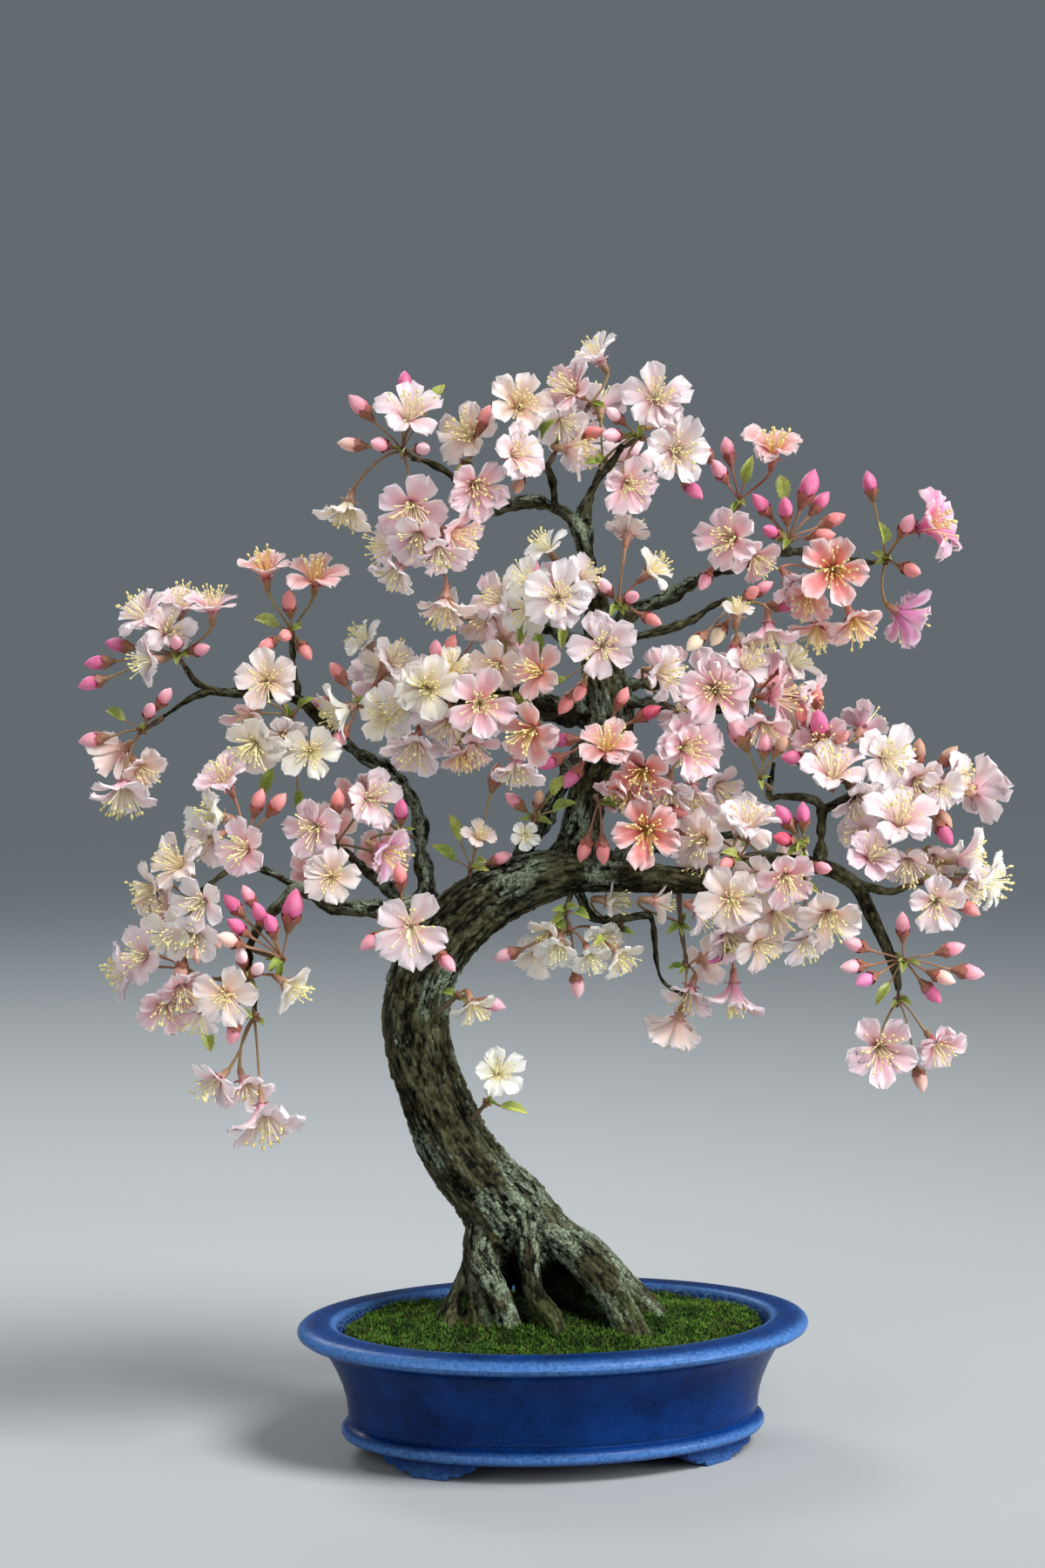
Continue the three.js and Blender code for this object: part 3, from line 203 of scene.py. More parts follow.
# The limbs, from their roots to their tips: trunk, right limb, upper trunk, crown arch, second stem,
# left limb, lower left limb, left centre limb and upper right limb.
LIMBS: tuple[Route, ...] = (
    ((2, 44, -8, 12), (1, 62, -8, 13), (-3, 78, -7, 15), (-9, 92, -1, 18), (-20, 106, 0, 18),
        (-33, 121, 0, 15.8), (-44, 136, 0, 15.4), (-51, 152, 0, 14.8), (-57, 168, 0, 14),
        (-61, 184, 0, 13.7), (-61.5, 198, 0, 13.8), (-58, 214, 0, 14), (-50, 228, 0, 14),
        (-38, 241, 0, 13.2), (-24, 250, 0, 12.5), (-9, 256, 2, 11.5), (6, 259, 4, 9.5), (20, 258.5, 6, 7)),
    ((4, 259, 4, 8.5), (28, 258, 8, 6.8), (54, 255.5, 12, 5.6), (68, 256, 14, 5), (88, 263, 16, 4.4),
        (104, 263, 16, 3.8), (118, 262, 14, 3.2), (133, 254, 10, 2.8), (140, 241, 6, 2.8),
        (145, 231, 4, 2.4), (149, 222, 2, 2.2), (152, 213, 0, 1.6), (153, 205, -2, 1.1)),
    ((-6, 252, 1, 8), (8, 268, 0, 8.5), (13, 285, 0, 8), (17, 303, 0, 8), (24, 320, 0, 9.5),
        (24, 335, 0, 10), (21, 350, 0, 8.5), (19, 365, -1, 6), (18.5, 380, -2, 4.8), (16, 392, -3, 3.8)),
    ((17, 386, -3, 3.8), (13, 404, -4, 3.3), (8, 415, -5, 3.3), (-2, 421, -6, 3), (-11, 423, -7, 3),
        (-24, 420, -7, 2.8), (-33, 416, -6, 2.6), (-37, 409, -4, 2.3)),
    ((-14, 254, -4, 4), (-14, 267, -3, 4), (-6, 280, -2, 3.8), (1, 295, -2, 3.6), (8, 308, -2, 3.5),
        (18, 322, -1, 3.5)),
    ((-57, 226, 0, 8), (-57, 245, 0, 4.8), (-57, 257, -2, 4), (-59, 268, -4, 3.5), (-59.5, 280, -6, 3.4),
        (-63.6, 293, -8, 3.4), (-73, 303.6, -9, 3), (-87, 312, -10, 2.7), (-104, 327, -11, 2.6),
        (-115, 336.5, -12, 2.5), (-142, 339, -14, 2), (-157, 338, -15, 1.6), (-170, 330, -16, 1.2),
        (-178, 325, -16, 1)),
    ((-54, 234, 2, 6), (-62, 244, 9, 3.8), (-70, 243, 12, 3.5), (-86, 243, 16, 3.2), (-100, 244, 19, 3),
        (-113, 252, 21, 2.7), (-122, 245, 23, 2.4), (-131, 235, 24, 2.1), (-136, 222, 25, 1.8),
        (-134, 208, 25, 1.4), (-133, 197, 25, 1.1)),
    ((18, 330, 0, 5), (8, 332, 2, 4.5), (-2, 333, 4, 4.2), (-21, 339, 4, 3.4), (-55, 335, -6, 2.8),
        (-80, 335, -8, 2)),
    ((19, 356, 0, 4.5), (25, 362, -1, 4), (32, 373, -3, 3.6), (50, 381, -6, 3), (58, 386, -7, 3),
        (67, 391, -8, 2.8), (80, 395, -9, 2.6), (103, 401, -11, 2), (120, 399, -12, 1.6),
        (140, 396, -14, 1.2)),
)

# Thinner twigs, each from its root.
TWIGS: tuple[Route, ...] = (
    ((22, 356, 0, 3), (30, 362, 2, 2.2), (50, 367, 4, 2), (61, 371, 4, 1.8), (68, 376, 2, 1.5),
        (76, 380, 0, 1.1)),
    ((-28, 419, -7, 2.2), (-45, 434, -9, 1.8), (-55, 440, -9, 1.5), (-63, 442, -9, 1.2)),
    ((0, 419, -5, 2), (-1, 432, -6, 1.6), (-4, 440, -7, 1.3)),
    ((9, 412, -5, 2.5), (17, 429, -6, 2), (25, 440, -6, 1.7), (30, 448, -6, 1.4)),
    ((-113, 335, -12, 1.8), (-115, 350, -13, 1.5), (-116, 362, -14, 1.2)),
    ((-148, 339, -14, 1.6), (-158, 343, -16, 1.3), (-163, 350, -18, 1.1)),
    ((-111, 250, 21, 2), (-124, 258, 22, 1.8), (-140, 262, 23, 1.5), (-158, 250, 24, 1.1)),
    ((118, 260, 14, 2.6), (118, 275, 13, 2.3), (118, 288, 12, 2.1), (112, 292, 10, 1.9), (100, 293, 8, 1.7),
        (95, 293, 6, 1.5), (97, 308, 5, 1.1)),
    ((117, 286, 12, 2), (136, 294, 4, 1.7), (155, 293, -2, 1.3)),
    ((131, 255, 10, 2), (148, 250.5, 6, 1.5), (157, 253, 2, 1.1)),
    ((9, 254, 4, 3), (17, 239, 10, 2.2), (30, 238.6, 13, 2), (40, 240, 14, 1.7), (43.5, 236.7, 15, 1.5),
        (45.4, 219, 16, 1.2), (48.5, 210, 13, 1), (57, 204.5, 8, 0.8)),
    ((24, 336, 2, 4), (45, 333, 4, 2.6), (65, 330, 4, 2), (82, 334, 0, 1.5)),
    ((14, 402, -5, 3), (14, 420, -22, 2.2), (20, 436, -38, 1.6)),
    ((20, 350, -2, 4.5), (12, 360, -22, 3.5), (0, 366, -42, 2.8), (-14, 374, -62, 1.8)),
    ((22, 340, -3, 4.5), (40, 343, -25, 3), (60, 342, -45, 2.4), (74, 338, -58, 1.6)),
    ((16, 326, -3, 4.5), (-8, 330, -25, 3.2), (-34, 334, -42, 2.6), (-54, 336, -56, 1.8)),
    ((10, 262, 2, 5), (34, 268, -22, 3.2), (58, 272, -42, 2.4), (78, 276, -56, 1.6)),
    ((-58, 232, -4, 5), (-72, 250, -22, 3.2), (-86, 262, -36, 2.2), (-93, 269, -44, 1.5)),
)

# Surface roots, spreading from the trunk's foot into the moss.
ROOTS: tuple[Route, ...] = (
    ((-31, 112, 2, 8), (-31, 98, 4, 8), (-31, 88, 8, 7.4), (-34, 80, 11, 7.4), (-38, 70, 14, 7.5),
        (-43, 60, 15, 8), (-45, 53, 16, 9), (-46, 44, 16, 9)),
    ((-32, 100, 8, 7), (-34, 86, 14, 6.2), (-30, 78, 20, 5.4), (-25, 69, 26, 4.6), (-21.5, 60, 30, 4.6),
        (-19.5, 53, 31, 5.5), (-18, 44, 31, 6)),
    ((-33, 90, 8, 7), (-34, 78, 14, 7), (-33, 66, 18, 7), (-32, 54, 21, 9), (-32, 44, 21, 9)),
    ((-14, 104, 10, 8), (-13, 92, 18, 5), (-11, 80, 23, 4), (-9, 71, 27, 3.8), (-5, 64, 30, 4.4),
        (0, 57, 33, 4.4), (3, 44, 35, 5)),
    ((-16, 118, 2, 8), (-6, 102.5, 7, 8.6), (6.5, 92, 12, 8.4), (16.5, 82, 18, 8), (24, 73, 22, 7.4),
        (30, 62, 26, 6.6), (34, 53.5, 28, 7), (38, 44, 29, 8)),
    ((-22, 118, -2, 8), (-8, 101, -2, 8.6), (9.5, 91.5, -2, 8), (20.5, 82.5, 0, 7.6), (30, 73, 2, 6.8),
        (39, 64, 4, 6.5), (46, 53.5, 5, 8), (50, 46, 6, 8)),
    ((-16, 98, -8, 10), (-24, 78, -20, 7), (-32, 61, -31, 5), (-38, 50, -36, 6)),
    ((0, 92, -8, 9), (16, 78, -20, 7.5), (31, 61, -33, 5), (38, 50, -39, 6)),
)

SPRAYS: tuple[Spray, ...] = (
    Spray("crown_far_left", Tone.BLUSH, twigs=(((-59, 441, -9), (-67, 445, -9)),),
        blooms=((-64, 460, -6, 30, 10, 40), (-91, 421, -8, 26, -30, -60, "cream"),
            (-63, 421, 4, 34, 0, -20, "mauve")),
        buds=((-86, 465, -12, 10, "pink"), (-66, 475, -22, 9, "rose"), (-90, 448, -12, 9, "peach"),
            (-77, 448, 2, 9, "pink"), (-58, 446, 4, 8)),
        leaves=((-52, 469, -18, 14),)),
    Spray("crown_left", Tone.PINK, twigs=(((-43, 432, -9), (-39, 440, -9)),),
        blooms=((-35, 430, 8, 29, 15, -15), (-37, 452, -14, 30, -30, 15, "peach")),
        buds=((-30.6, 460, -8, 9, "coral"),)),
    Spray("crown_drooping", Tone.BLUSH, twigs=(((-35, 412, -5), (-42, 400, -8), (-53, 396, -8)),),
        blooms=((-45, 409, 6, 28, 60, -15, "pink"), (-72, 404, -10, 26, -70, -5),
            (-69, 394, 8, 24, -50, -50, "snow"), (-51, 402, 20, 24, 20, -50),
            (-48.5, 378.5, 6, 28, -20, -70, "peach"), (-60, 408, 14, 27, -10, -35))),
    Spray("crown_high_left", Tone.PEACH, twigs=(((-1, 434, -6), (-11, 444, -9)),),
        blooms=((-16, 465, -4, 30, 5, 15), (-17.7, 443.6, 8, 26, 30, 10, "blush")),
        buds=((-16, 430, 4, 8, "tan"),),
        leaves=((-3, 455, 0, 12),)),
    Spray("crown_top", Tone.WHITE, twigs=(((-3.5, 438, -7), (3, 449, -11), (16, 466, -15)),),
        blooms=((19, 486, -17, 24, -50, 50, "snow"), (8, 471, -6, 28, -40, 20, "pink"),
            (7, 446, 0, 26, 80, -5, "peach"), (3, 458, -6, 24, 20, -20, "snow")),
        buds=((16.5, 453, -4, 9, "coral"),)),
    Spray("crown_right", Tone.PINK, twigs=(((29, 446, -6), (37, 451, -9)),),
        blooms=((44, 468, -4, 32, 5, 10, "blush"), (53, 445, 4, 31, 10, -5, "snow"),
            (32, 431, 12, 27, 15, -10)),
        buds=((25, 452, 4, 9, "blush"), (26, 461, -2, 8, "snow"), (61, 428, 0, 9, "rose"))),
    Spray("centre_high", Tone.WHITE, twigs=(((17, 388, -3), (5, 387, -2), (-9, 384, -4)),),
        blooms=((-3, 402, -4, 22, -60, 50), (1.5, 381, 14, 32, 0, 10, "snow"), (-12, 388, 2, 22, -20, 20),
            (-23, 380, -2, 24, -60, 20, "snow"), (-12, 376, 6, 24, -20, -20),
            (-30, 372, -6, 24, -50, -30, "blush"), (12, 390, 6, 22, 50, 20, "snow")),
        leaves=((-14, 366, 2, 13), (3.4, 364, 6, 12), (-7, 361, 6, 12))),
    Spray("centre_upright", Tone.CREAM, twigs=(((30.5, 371, -3), (28, 378, 3)),),
        blooms=((32, 409, 2, 21, 165, 55, "peach"), (42, 392, 4, 22, 60, 35)),
        buds=((22, 386, 8, 8, "blush"), (34, 381, 12, 8, "pink"), (43, 371, 12, 8, "coral"))),
    Spray("centre_front", Tone.BLUSH, twigs=(((20, 356, 4), (17, 352, 12)),),
        blooms=((21, 359.5, 26, 31, 0, 0),),
        buds=((5, 334, 14, 9, "coral"), (11, 339, 20, 8, "coral")),
        leaves=((0, 342.5, 12, 12),)),
    Spray("left_inner", Tone.CORAL, twigs=(((-10, 336, 4), (-19, 336, 9)),),
        blooms=((-33, 334, 22, 32, 5, 0, "pink"), (-7, 348, 18, 27, -30, 10), (-10, 322, 20, 31, -25, -20),
            (-22, 362, -8, 26, 180, 10, "peach"), (-42, 311, 14, 20, 10, -40),
            (-25, 351, 8, 25, -20, -10, "peach"), (-36, 316, 14, 24, 15, -55, "pink"),
            (-17, 307, 14, 25, 0, -60, "blush"), (-46, 348, 4, 24, 20, 30, "cream"))),
    Spray("left_centre", Tone.PEACH, twigs=(((-50, 336, -5), (-53, 342, -3)),),
        blooms=((-56, 341, 15, 30, 0, 5, "cream"), (-61, 317, 2, 30, -10, -50, "blush"),
            (-43, 374, -24, 22, -60, 20, "white"), (-47, 326, 6, 25, -10, -50, "blush"),
            (-66, 334, 8, 26, -30, -20, "snow")),
        buds=((-46, 360, 0, 8, "coral"), (-52.5, 358, 6, 8, "pink"))),
    Spray("left_outer", Tone.CREAM, twigs=(((-78, 335, -8), (-85, 333, -3)),),
        blooms=((-83, 361, -14, 22, -60, 35, "white"), (-75, 349, -20, 24, 180, 10),
            (-93, 331, -2, 28, -70, -20, "white"), (-73, 330, 0, 28, -20, 0),
            (-72, 352, -2, 24, 40, 35, "snow")),
        buds=((-96, 348, -12, 9, "coral"), (-103, 334, -16, 9, "pink"), (-95.4, 318, 2, 9, "pink"))),
    Spray("left_upright", Tone.CORAL, twigs=(((-115.5, 358, -14), (-116, 366, -14)),),
        blooms=((-127.4, 391.6, -16, 27, -15, 70), (-105.5, 388.7, -12, 28, 10, 60)),
        buds=((-117, 379, -8, 9), (-127, 360, -6, 8), (-119, 364, 0, 8), (-110, 357, -8, 8)),
        leaves=((-127, 370, -18, 13),)),
    Spray("left_hanging", Tone.PEACH, twigs=(((-112, 333.5, -12), (-117, 328, -6)),),
        blooms=((-127, 344, 4, 29, 0, 5), (-133, 316, 6, 30, -15, -20, "cream"),
            (-108, 313, 6, 27, 5, -5, "cream"), (-134, 329, -2, 22, -30, -40, "pink"),
            (-120, 320, 0, 24, 10, -30, "snow")),
        buds=((-137, 331, 0, 8),),
        leaves=((-110, 334, 0, 11), (-127, 299, -6, 13), (-113, 290, -6, 13))),
    Spray("left_tip_high", Tone.BLUSH, twigs=(((-162, 348, -17.5), (-166, 355, -19)),),
        blooms=((-181, 372, -18, 27, -50, 40), (-164, 377, -28, 24, 20, 60),
            (-151, 376, -12, 24, 0, 80, "pink"), (-178, 353, -8, 24, -65, -5, "snow"),
            (-171, 366, -22, 25, 20, 20, "snow")),
        buds=((-193, 360, -24, 9, "rose"), (-202, 352, -20, 9, "rose"), (-205, 343, -16, 9, "rose"),
            (-167, 361, -6, 8, "pink"), (-156, 358, -12, 8, "pink"))),
    Spray("left_tip_low", Tone.PEACH, twigs=(((-173, 328, -16), (-182, 322, -14)),),
        blooms=((-192, 313, -18, 28, -130, -30), (-191, 297, -4, 32, -15, -65, "blush"),
            (-184, 306, -12, 24, 40, -35)),
        buds=((-172, 337, -8, 8, "pink"), (-179, 331, -4, 8, "pink"), (-205, 318, -14, 9, "pink")),
        leaves=((-194, 329, -22, 12),)),
    Spray("lower_left_upper", Tone.PINK, twigs=(((-59.5, 274, -5), (-68, 276, 2)),),
        blooms=((-82, 292, 6, 28, 25, 5, "blush"), (-76, 269, 14, 29, 60, -20, "orchid")),
        buds=((-68, 287, 8, 9, "rose"),)),
    Spray("lower_left_middle", Tone.PEACH, twigs=(((-94, 243.5, 18), (-100, 254, 16)),),
        blooms=((-106, 279, 14, 27, -20, -5, "mauve"), (-99, 257, 32, 27, 0, 10)),
        buds=((-96, 291, 6, 9, "coral"),)),
    Spray("lower_left_inner", Tone.BLUSH, twigs=(((-70, 243, 12), (-67, 239, 19)),),
        blooms=((-63.6, 234.6, 34, 35, 5, -5),),
        buds=((-82, 228, 26, 9, "pink"), (-48, 219, 24, 9, "pink"), (-68.7, 258, 24, 9, "coral"))),
    Spray("lower_left_outer_high", Tone.PINK, twigs=(((-136, 261.5, 23), (-137, 272, 20)),),
        blooms=((-145.5, 299, 16, 27, -35, 50, "mauve"), (-149, 284, 22, 26, -60, 10, "white"),
            (-137, 269.5, 38, 27, -30, 5), (-152, 274, 24, 26, -50, -20, "snow")),
        buds=((-131, 291, 22, 9, "coral"), (-122.5, 290, 24, 9, "coral"))),
    Spray("lower_left_outer", Tone.PEACH, twigs=(((-153, 254, 24), (-161, 244, 22)),),
        blooms=((-166, 262, 30, 28, -40, 30), (-156, 246, 42, 27, -20, -10, "snow"),
            (-169, 232, 36, 25, -30, -10, "cream"), (-178, 252, 24, 25, -60, -10),
            (-160, 232, 38, 27, -10, -25, "snow"), (-172, 242, 28, 24, -50, 20, "blush")),
        buds=((-182, 246, 20, 9), (-177, 238, 16, 8, "pink"), (-159, 223, 28, 8), (-151, 229, 30, 8),
            (-166, 214, 26, 9))),
    Spray("lower_left_low", Tone.PINK, twigs=(((-134.5, 212, 25), (-137, 211, 31), (-158, 212, 20)),),
        blooms=((-188, 216, 14, 30, -75, -5, "blush"), (-172.6, 200.7, 30, 30, 10, -25),
            (-146.5, 204.3, 40, 29, 0, -5, "peach"), (-119, 209, 32, 26, 65, -30, "cream"),
            (-182, 222, 24, 28, -35, 5, "blush"), (-166, 208, 34, 27, 25, -35),
            (-158, 196, 28, 24, -10, -50, "snow")),
        buds=((-139, 221.6, 38, 8, "snow"), (-132, 216, 38, 8, "snow"), (-143, 187, 22, 9)),
        leaves=((-154, 185, 20, 13),)),
    Spray("lower_left_tip", Tone.ROSE, twigs=(((-133.7, 202, 25), (-133.5, 194, 25)),),
        blooms=((-150, 166, 22, 27, -50, -35, "blush"), (-138, 164, 14, 24, 25, -45, "snow"),
            (-130, 151.5, 24, 36, 15, -60, "blush"))),
    Spray("lower_left_fan", Tone.ROSE, twigs=(((-135.5, 225, 25), (-121, 220, 29)),),
        buds=((-143, 245, 36, 9), (-141, 235, 40, 9), (-131, 241, 34, 9), (-126, 236, 38, 9),
            (-116, 244, 32, 13), (-136, 249, 30, 8, "pink"), (-145, 229, 46, 10, "peach"))),
    Spray("trunk_low", Tone.WHITE, twigs=(((-42, 143, 6), (-30, 156, 12)),),
        blooms=((-25, 169, 16, 24, 10, 20),),
        leaves=((-18, 153, 14, 13),)),
    Spray("trunk_middle", Tone.CREAM, twigs=(((-55, 194, 8), (-43, 204, 13)),),
        blooms=((-36.6, 200, 18, 20, 30, -50),),
        buds=((-27, 200, 10, 9, "mauve"),)),
    Spray("shoulder", Tone.PEACH, twigs=(((-38, 240, 2), (-37, 260, 4)),),
        blooms=((-33.5, 274.5, 8, 17, 20, 45),),
        buds=((-23.5, 265.5, 6, 8, "pink"), (-26, 302.5, 0, 9, "tan")),
        leaves=((-44, 279, 0, 13), (-33, 263, 14, 11), (-49, 268, 2, 13))),
    Spray("second_stem", Tone.PINK, twigs=(((-7, 278, -2), (-9, 283, 5)),),
        blooms=((-13, 276, 10, 14, 0, 0, "white"),),
        buds=((-18, 291, 2, 8), (-7, 292, 8, 7, "tan")),
        leaves=((2, 298, 12, 12), (4, 288.5, 11, 12))),
    Spray("trunk_front", Tone.CORAL, twigs=(((24, 322, 4), (21, 319, 13)),),
        blooms=((23, 314, 26, 28, 0, 45), (39.5, 304, 16, 28, -15, -20, "salmon"),
            (32, 296, 14, 26, -40, -45)),
        buds=((30, 337, 18, 8), (42, 330, 16, 9, "crimson"), (3, 318, 10, 9, "rose"),
            (-2, 308, 11, 9, "rose"), (7.5, 301, 14, 9, "rose"))),
    Spray("trunk_front_low", Tone.CORAL, twigs=(((15.5, 296, 3), (20, 290, 11)),),
        blooms=((40.6, 278, 20, 32, 0, 0, "salmon"),),
        buds=((13, 269, 12, 9), (21.5, 268, 14, 9), (55, 286, 14, 9), (62, 275, 10, 9, "rose"))),
    Spray("right_inner", Tone.PINK, twigs=(((48, 333, 4), (54, 329, 8), (63, 312, 2)),),
        blooms=((46, 347.5, 10, 28, 55, -10, "snow"), (71, 340, 18, 33, 0, 0), (57.5, 314.5, 18, 31, 25, 0),
            (61, 296, 8, 24, 0, -60, "blush"), (72, 298, -4, 22, 40, -30, "blush"),
            (50, 297, 14, 25, -15, -50, "snow"), (84, 350, 4, 24, 30, 30, "snow"),
            (62, 328, 8, 25, -40, 10, "blush"))),
    Spray("right_outer", Tone.PINK, twigs=(((80, 333.5, 0), (87, 334, -6)),),
        blooms=((97, 337, 0, 32, 70, 0), (104, 352, -10, 24, 60, 35, "white"),
            (86, 356, -14, 20, -20, 20, "cream"), (92, 325, 6, 26, 20, -50),
            (108, 336, -8, 26, 70, -10, "blush"))),
    Spray("right_twig", Tone.ROSE, twigs=(((73, 378.7, 1), (81, 378, -2)),),
        blooms=((94, 367.5, 0, 28, 0, -75, "mauve"), (80.5, 374, 8, 16, 20, 70, "cream")),
        buds=((79.5, 356, 4, 9, "pink"), (87, 383, 6, 8, "coral"), (92, 385, -4, 8, "pink"),
            (101, 377.4, -8, 9), (72, 364, 4, 9, "cream"), (62, 361, 8, 9, "cream"))),
    Spray("upper_right_inner", Tone.PINK, twigs=(((69, 392, -8), (74, 404, -8), (81, 423, -12)),),
        blooms=((78, 407, 8, 30, -25, 0), (96, 444.4, -14, 28, 10, 60, "coral"), (88, 399, 0, 24, 30, -30)),
        buds=((65, 446, -12, 9, "coral"), (76, 446, -18, 9), (72, 437, -4, 9), (66, 388, 2, 8)),
        leaves=((85, 437, -6, 13),)),
    Spray("upper_right_fan", Tone.ROSE, twigs=(((101, 400.6, -11), (103, 406, -10)),),
        buds=((90.5, 422, -6, 9), (101.5, 420, -3, 9), (111.7, 430, -8, 12), (117, 423, -14, 9),
            (95, 410, -2, 8), (123, 415, -16, 9, "coral"), (118.2, 408, -4, 9, "coral")),
        leaves=((100, 429, -18, 13),)),
    Spray("upper_right_hanging", Tone.CORAL, twigs=(((119, 399, -12), (119, 391, -12)),),
        blooms=((122.8, 393, 6, 32, 0, 0, "salmon"), (104, 388, -2, 22, 40, -40, "blush"),
            (116, 368, -8, 26, -20, -70), (131.5, 371.5, 2, 28, 30, -50), (112, 381, -2, 25, -20, -40))),
    Spray("upper_right_tip", Tone.ROSE, twigs=(((138, 396.3, -14), (146, 397, -15)),),
        blooms=((152, 374, -16, 30, 120, -30, "orchid"), (163, 412, -12, 34, 60, 15)),
        buds=((138.3, 431, -16, 9), (155, 413, -4, 9, "pink"), (157, 393, -4, 9, "coral")),
        leaves=((144, 409, -4, 13),)),
    Spray("right_high", Tone.BLUSH, twigs=(((133, 293, 5), (127, 301, -2), (119, 310, -4)),),
        blooms=((123.3, 302, 12, 32, 0, 50), (136, 323, -10, 25, 150, 30, "mauve"),
            (108, 319, -12, 24, -20, 10, "peach"), (118, 318, 0, 26, -15, 10, "pink"),
            (134, 292, 6, 26, 20, -40, "snow")),
        buds=((117, 325, 4, 12, "rose"), (110, 329, 0, 9, "coral"), (105, 310, 4, 9, "rose"),
            (127, 319, 6, 8, "coral"), (115.4, 338, -6, 9, "coral"))),
    Spray("right_outer_high", Tone.BLUSH, twigs=(((153, 293, -1.5), (160, 295, -6)),),
        blooms=((146, 310, 4, 31, 20, 5, "snow"), (171, 297, 6, 20, 10, -20, "snow"),
            (186, 295, -10, 31, 140, 5), (160, 300, 0, 24, 20, -20), (176, 301, -8, 24, 60, 10, "snow")),
        buds=((161, 313, -8, 9, "tan"), (174.4, 311, -10, 9, "tan"), (172, 283, -4, 9, "tan"),
            (173, 276, 6, 9.5, "rose"))),
    Spray("right_middle", Tone.PINK, twigs=(((146, 293.6, 1), (147, 281, 2)),),
        blooms=((153.2, 281.1, 16, 34, 0, 45, "blush"), (140, 266, 22, 27, 20, 30, "mauve"),
            (138, 277, 8, 26, -40, -10, "blush"))),
    Spray("right_outer_low", Tone.WHITE, twigs=(((155, 252.5, 3), (164, 255, 0)),),
        blooms=((181, 265, 2, 28, 75, 10, "snow"), (191, 256, -10, 28, 70, -10),
            (168, 266, -8, 22, 0, -30, "blush"), (169.3, 245.8, 16, 28, 0, -5, "blush"),
            (172, 266, -14, 24, 100, -30), (157, 264, 2, 26, -10, -40, "blush"),
            (182, 254, 0, 26, 50, -10, "snow")),
        buds=((184, 243, 6, 9, "coral"),)),
    Spray("right_limb_outer", Tone.PEACH, twigs=(((110, 262.5, 15), (110.5, 262, 22), (111, 254, 23)),
            ((110.5, 262, 22), (110.4, 272, 21))),
        blooms=((102.5, 257, 34, 28, 5, -15, "pink"), (121.8, 240.3, 30, 31, 5, -30),
            (90.5, 227, 24, 26, 30, -20), (98, 241, 22, 27, 15, -30), (112, 230, 22, 26, 0, -50, "snow")),
        buds=((118.7, 261, 28, 8, "pink"), (101.7, 284, 20, 10, "rose"), (110, 285, 22, 9, "rose"),
            (101, 274, 28, 9, "crimson"))),
    Spray("right_limb_middle", Tone.PEACH, twigs=(((83, 261, 15), (82, 266, 21)),),
        blooms=((86, 280, 14, 29, 5, 60, "snow"), (78, 247, 38, 31, 0, 0), (66, 274, 16, 25, -35, 0),
            (90, 258, 24, 24, -20, -30, "snow"), (66, 262, 12, 24, -30, -20)),
        buds=((76, 263, 32, 8, "coral"),)),
    Spray("right_limb_hanging", Tone.ROSE, twigs=(((71, 257, 14), (70, 246, 16), (78, 227, 12)),),
        blooms=((79.6, 206.7, 10, 30, 0, -75, "mauve"), (64, 242, 24, 22, 60, -20, "snow"),
            (76, 232, 18, 25, 30, -40, "blush")),
        buds=((72, 222, 16, 9),)),
    Spray("right_limb_inner", Tone.PEACH, twigs=(((55, 255.5, 12), (56, 236, 8), (59, 217, 5)),),
        blooms=((67, 220, -2, 24, 150, -10), (54.6, 192, 4, 28, -150, -60), (45, 246, 16, 20, 100, -10),
            (60, 206, 6, 24, -30, -50, "blush"))),
    Spray("right_branch_tip", Tone.PINK, twigs=(((96, 296, 6), (91, 300, 11)),),
        buds=((93, 316, 14, 8), (100, 316, 16, 8, "tan"), (81, 323, 10, 12, "blush"))),
    Spray("right_tip", Tone.ROSE, twigs=(((152.8, 209, -1), (153, 202, -2)),),
        blooms=((144.6, 180.8, 10, 33, 0, 0, "mauve"), (169.6, 182.6, 2, 26, 30, -30, "pink")),
        buds=((163, 166, -2, 9, "peach"),)),
    Spray("right_tip_fan", Tone.ROSE, twigs=(((149.5, 220, 2), (155, 219, 6)),),
        buds=((154.5, 236, 8, 9, "pink"), (133, 227, 12, 9, "blush"), (132, 217, 14, 9, "blush"),
            (138, 211, 18, 9, "orchid"), (177, 225, 4, 9, "pink"), (185, 214.4, 2, 10, "pink"),
            (173, 212, 12, 9, "peach"), (168, 205, 8, 9)),
        leaves=((146, 205, 10, 12),)),
    Spray("under_limb_left", Tone.CREAM, twigs=(((9, 253, 4), (5, 242, 8), (7, 233, 9)),),
        blooms=((-7.4, 224, 0, 24, 180, -40), (2, 226, 20, 20, -10, -40, "white"),
            (15.5, 222, 18, 20, 20, -40, "white"), (-2, 232, 8, 22, -30, -30),
            (20, 230, 10, 22, 30, -30, "white")),
        buds=((10, 208, 8, 9, "blush"), (-22, 222, 6, 9, "blush")),
        leaves=((12, 240, 20, 12),)),
    Spray("under_limb_right", Tone.CREAM, twigs=(((30, 238.6, 13), (29, 233, 6)),),
        blooms=((28, 223, 14, 22, 50, -40), (24, 246.5, 9, 24, 75, -5)),
        leaves=((20, 228, 26, 12),)),
    Spray("back_crown", Tone.BLUSH, twigs=(((18, 432, -35), (21, 440, -42)),),
        blooms=((10, 448, -52, 28, 165, 10), (34, 440, -54, 28, -170, 0), (20, 464, -46, 26, 180, 45),
            (46, 458, -38, 26, 130, 20))),
    Spray("back_upper", Tone.PINK, twigs=(((-10, 372, -57), (-17, 376, -66)),),
        blooms=((-24, 379, -82, 28, -165, 0), (2, 383, -76, 28, 160, 10), (-20, 360, -70, 26, -175, -30)),
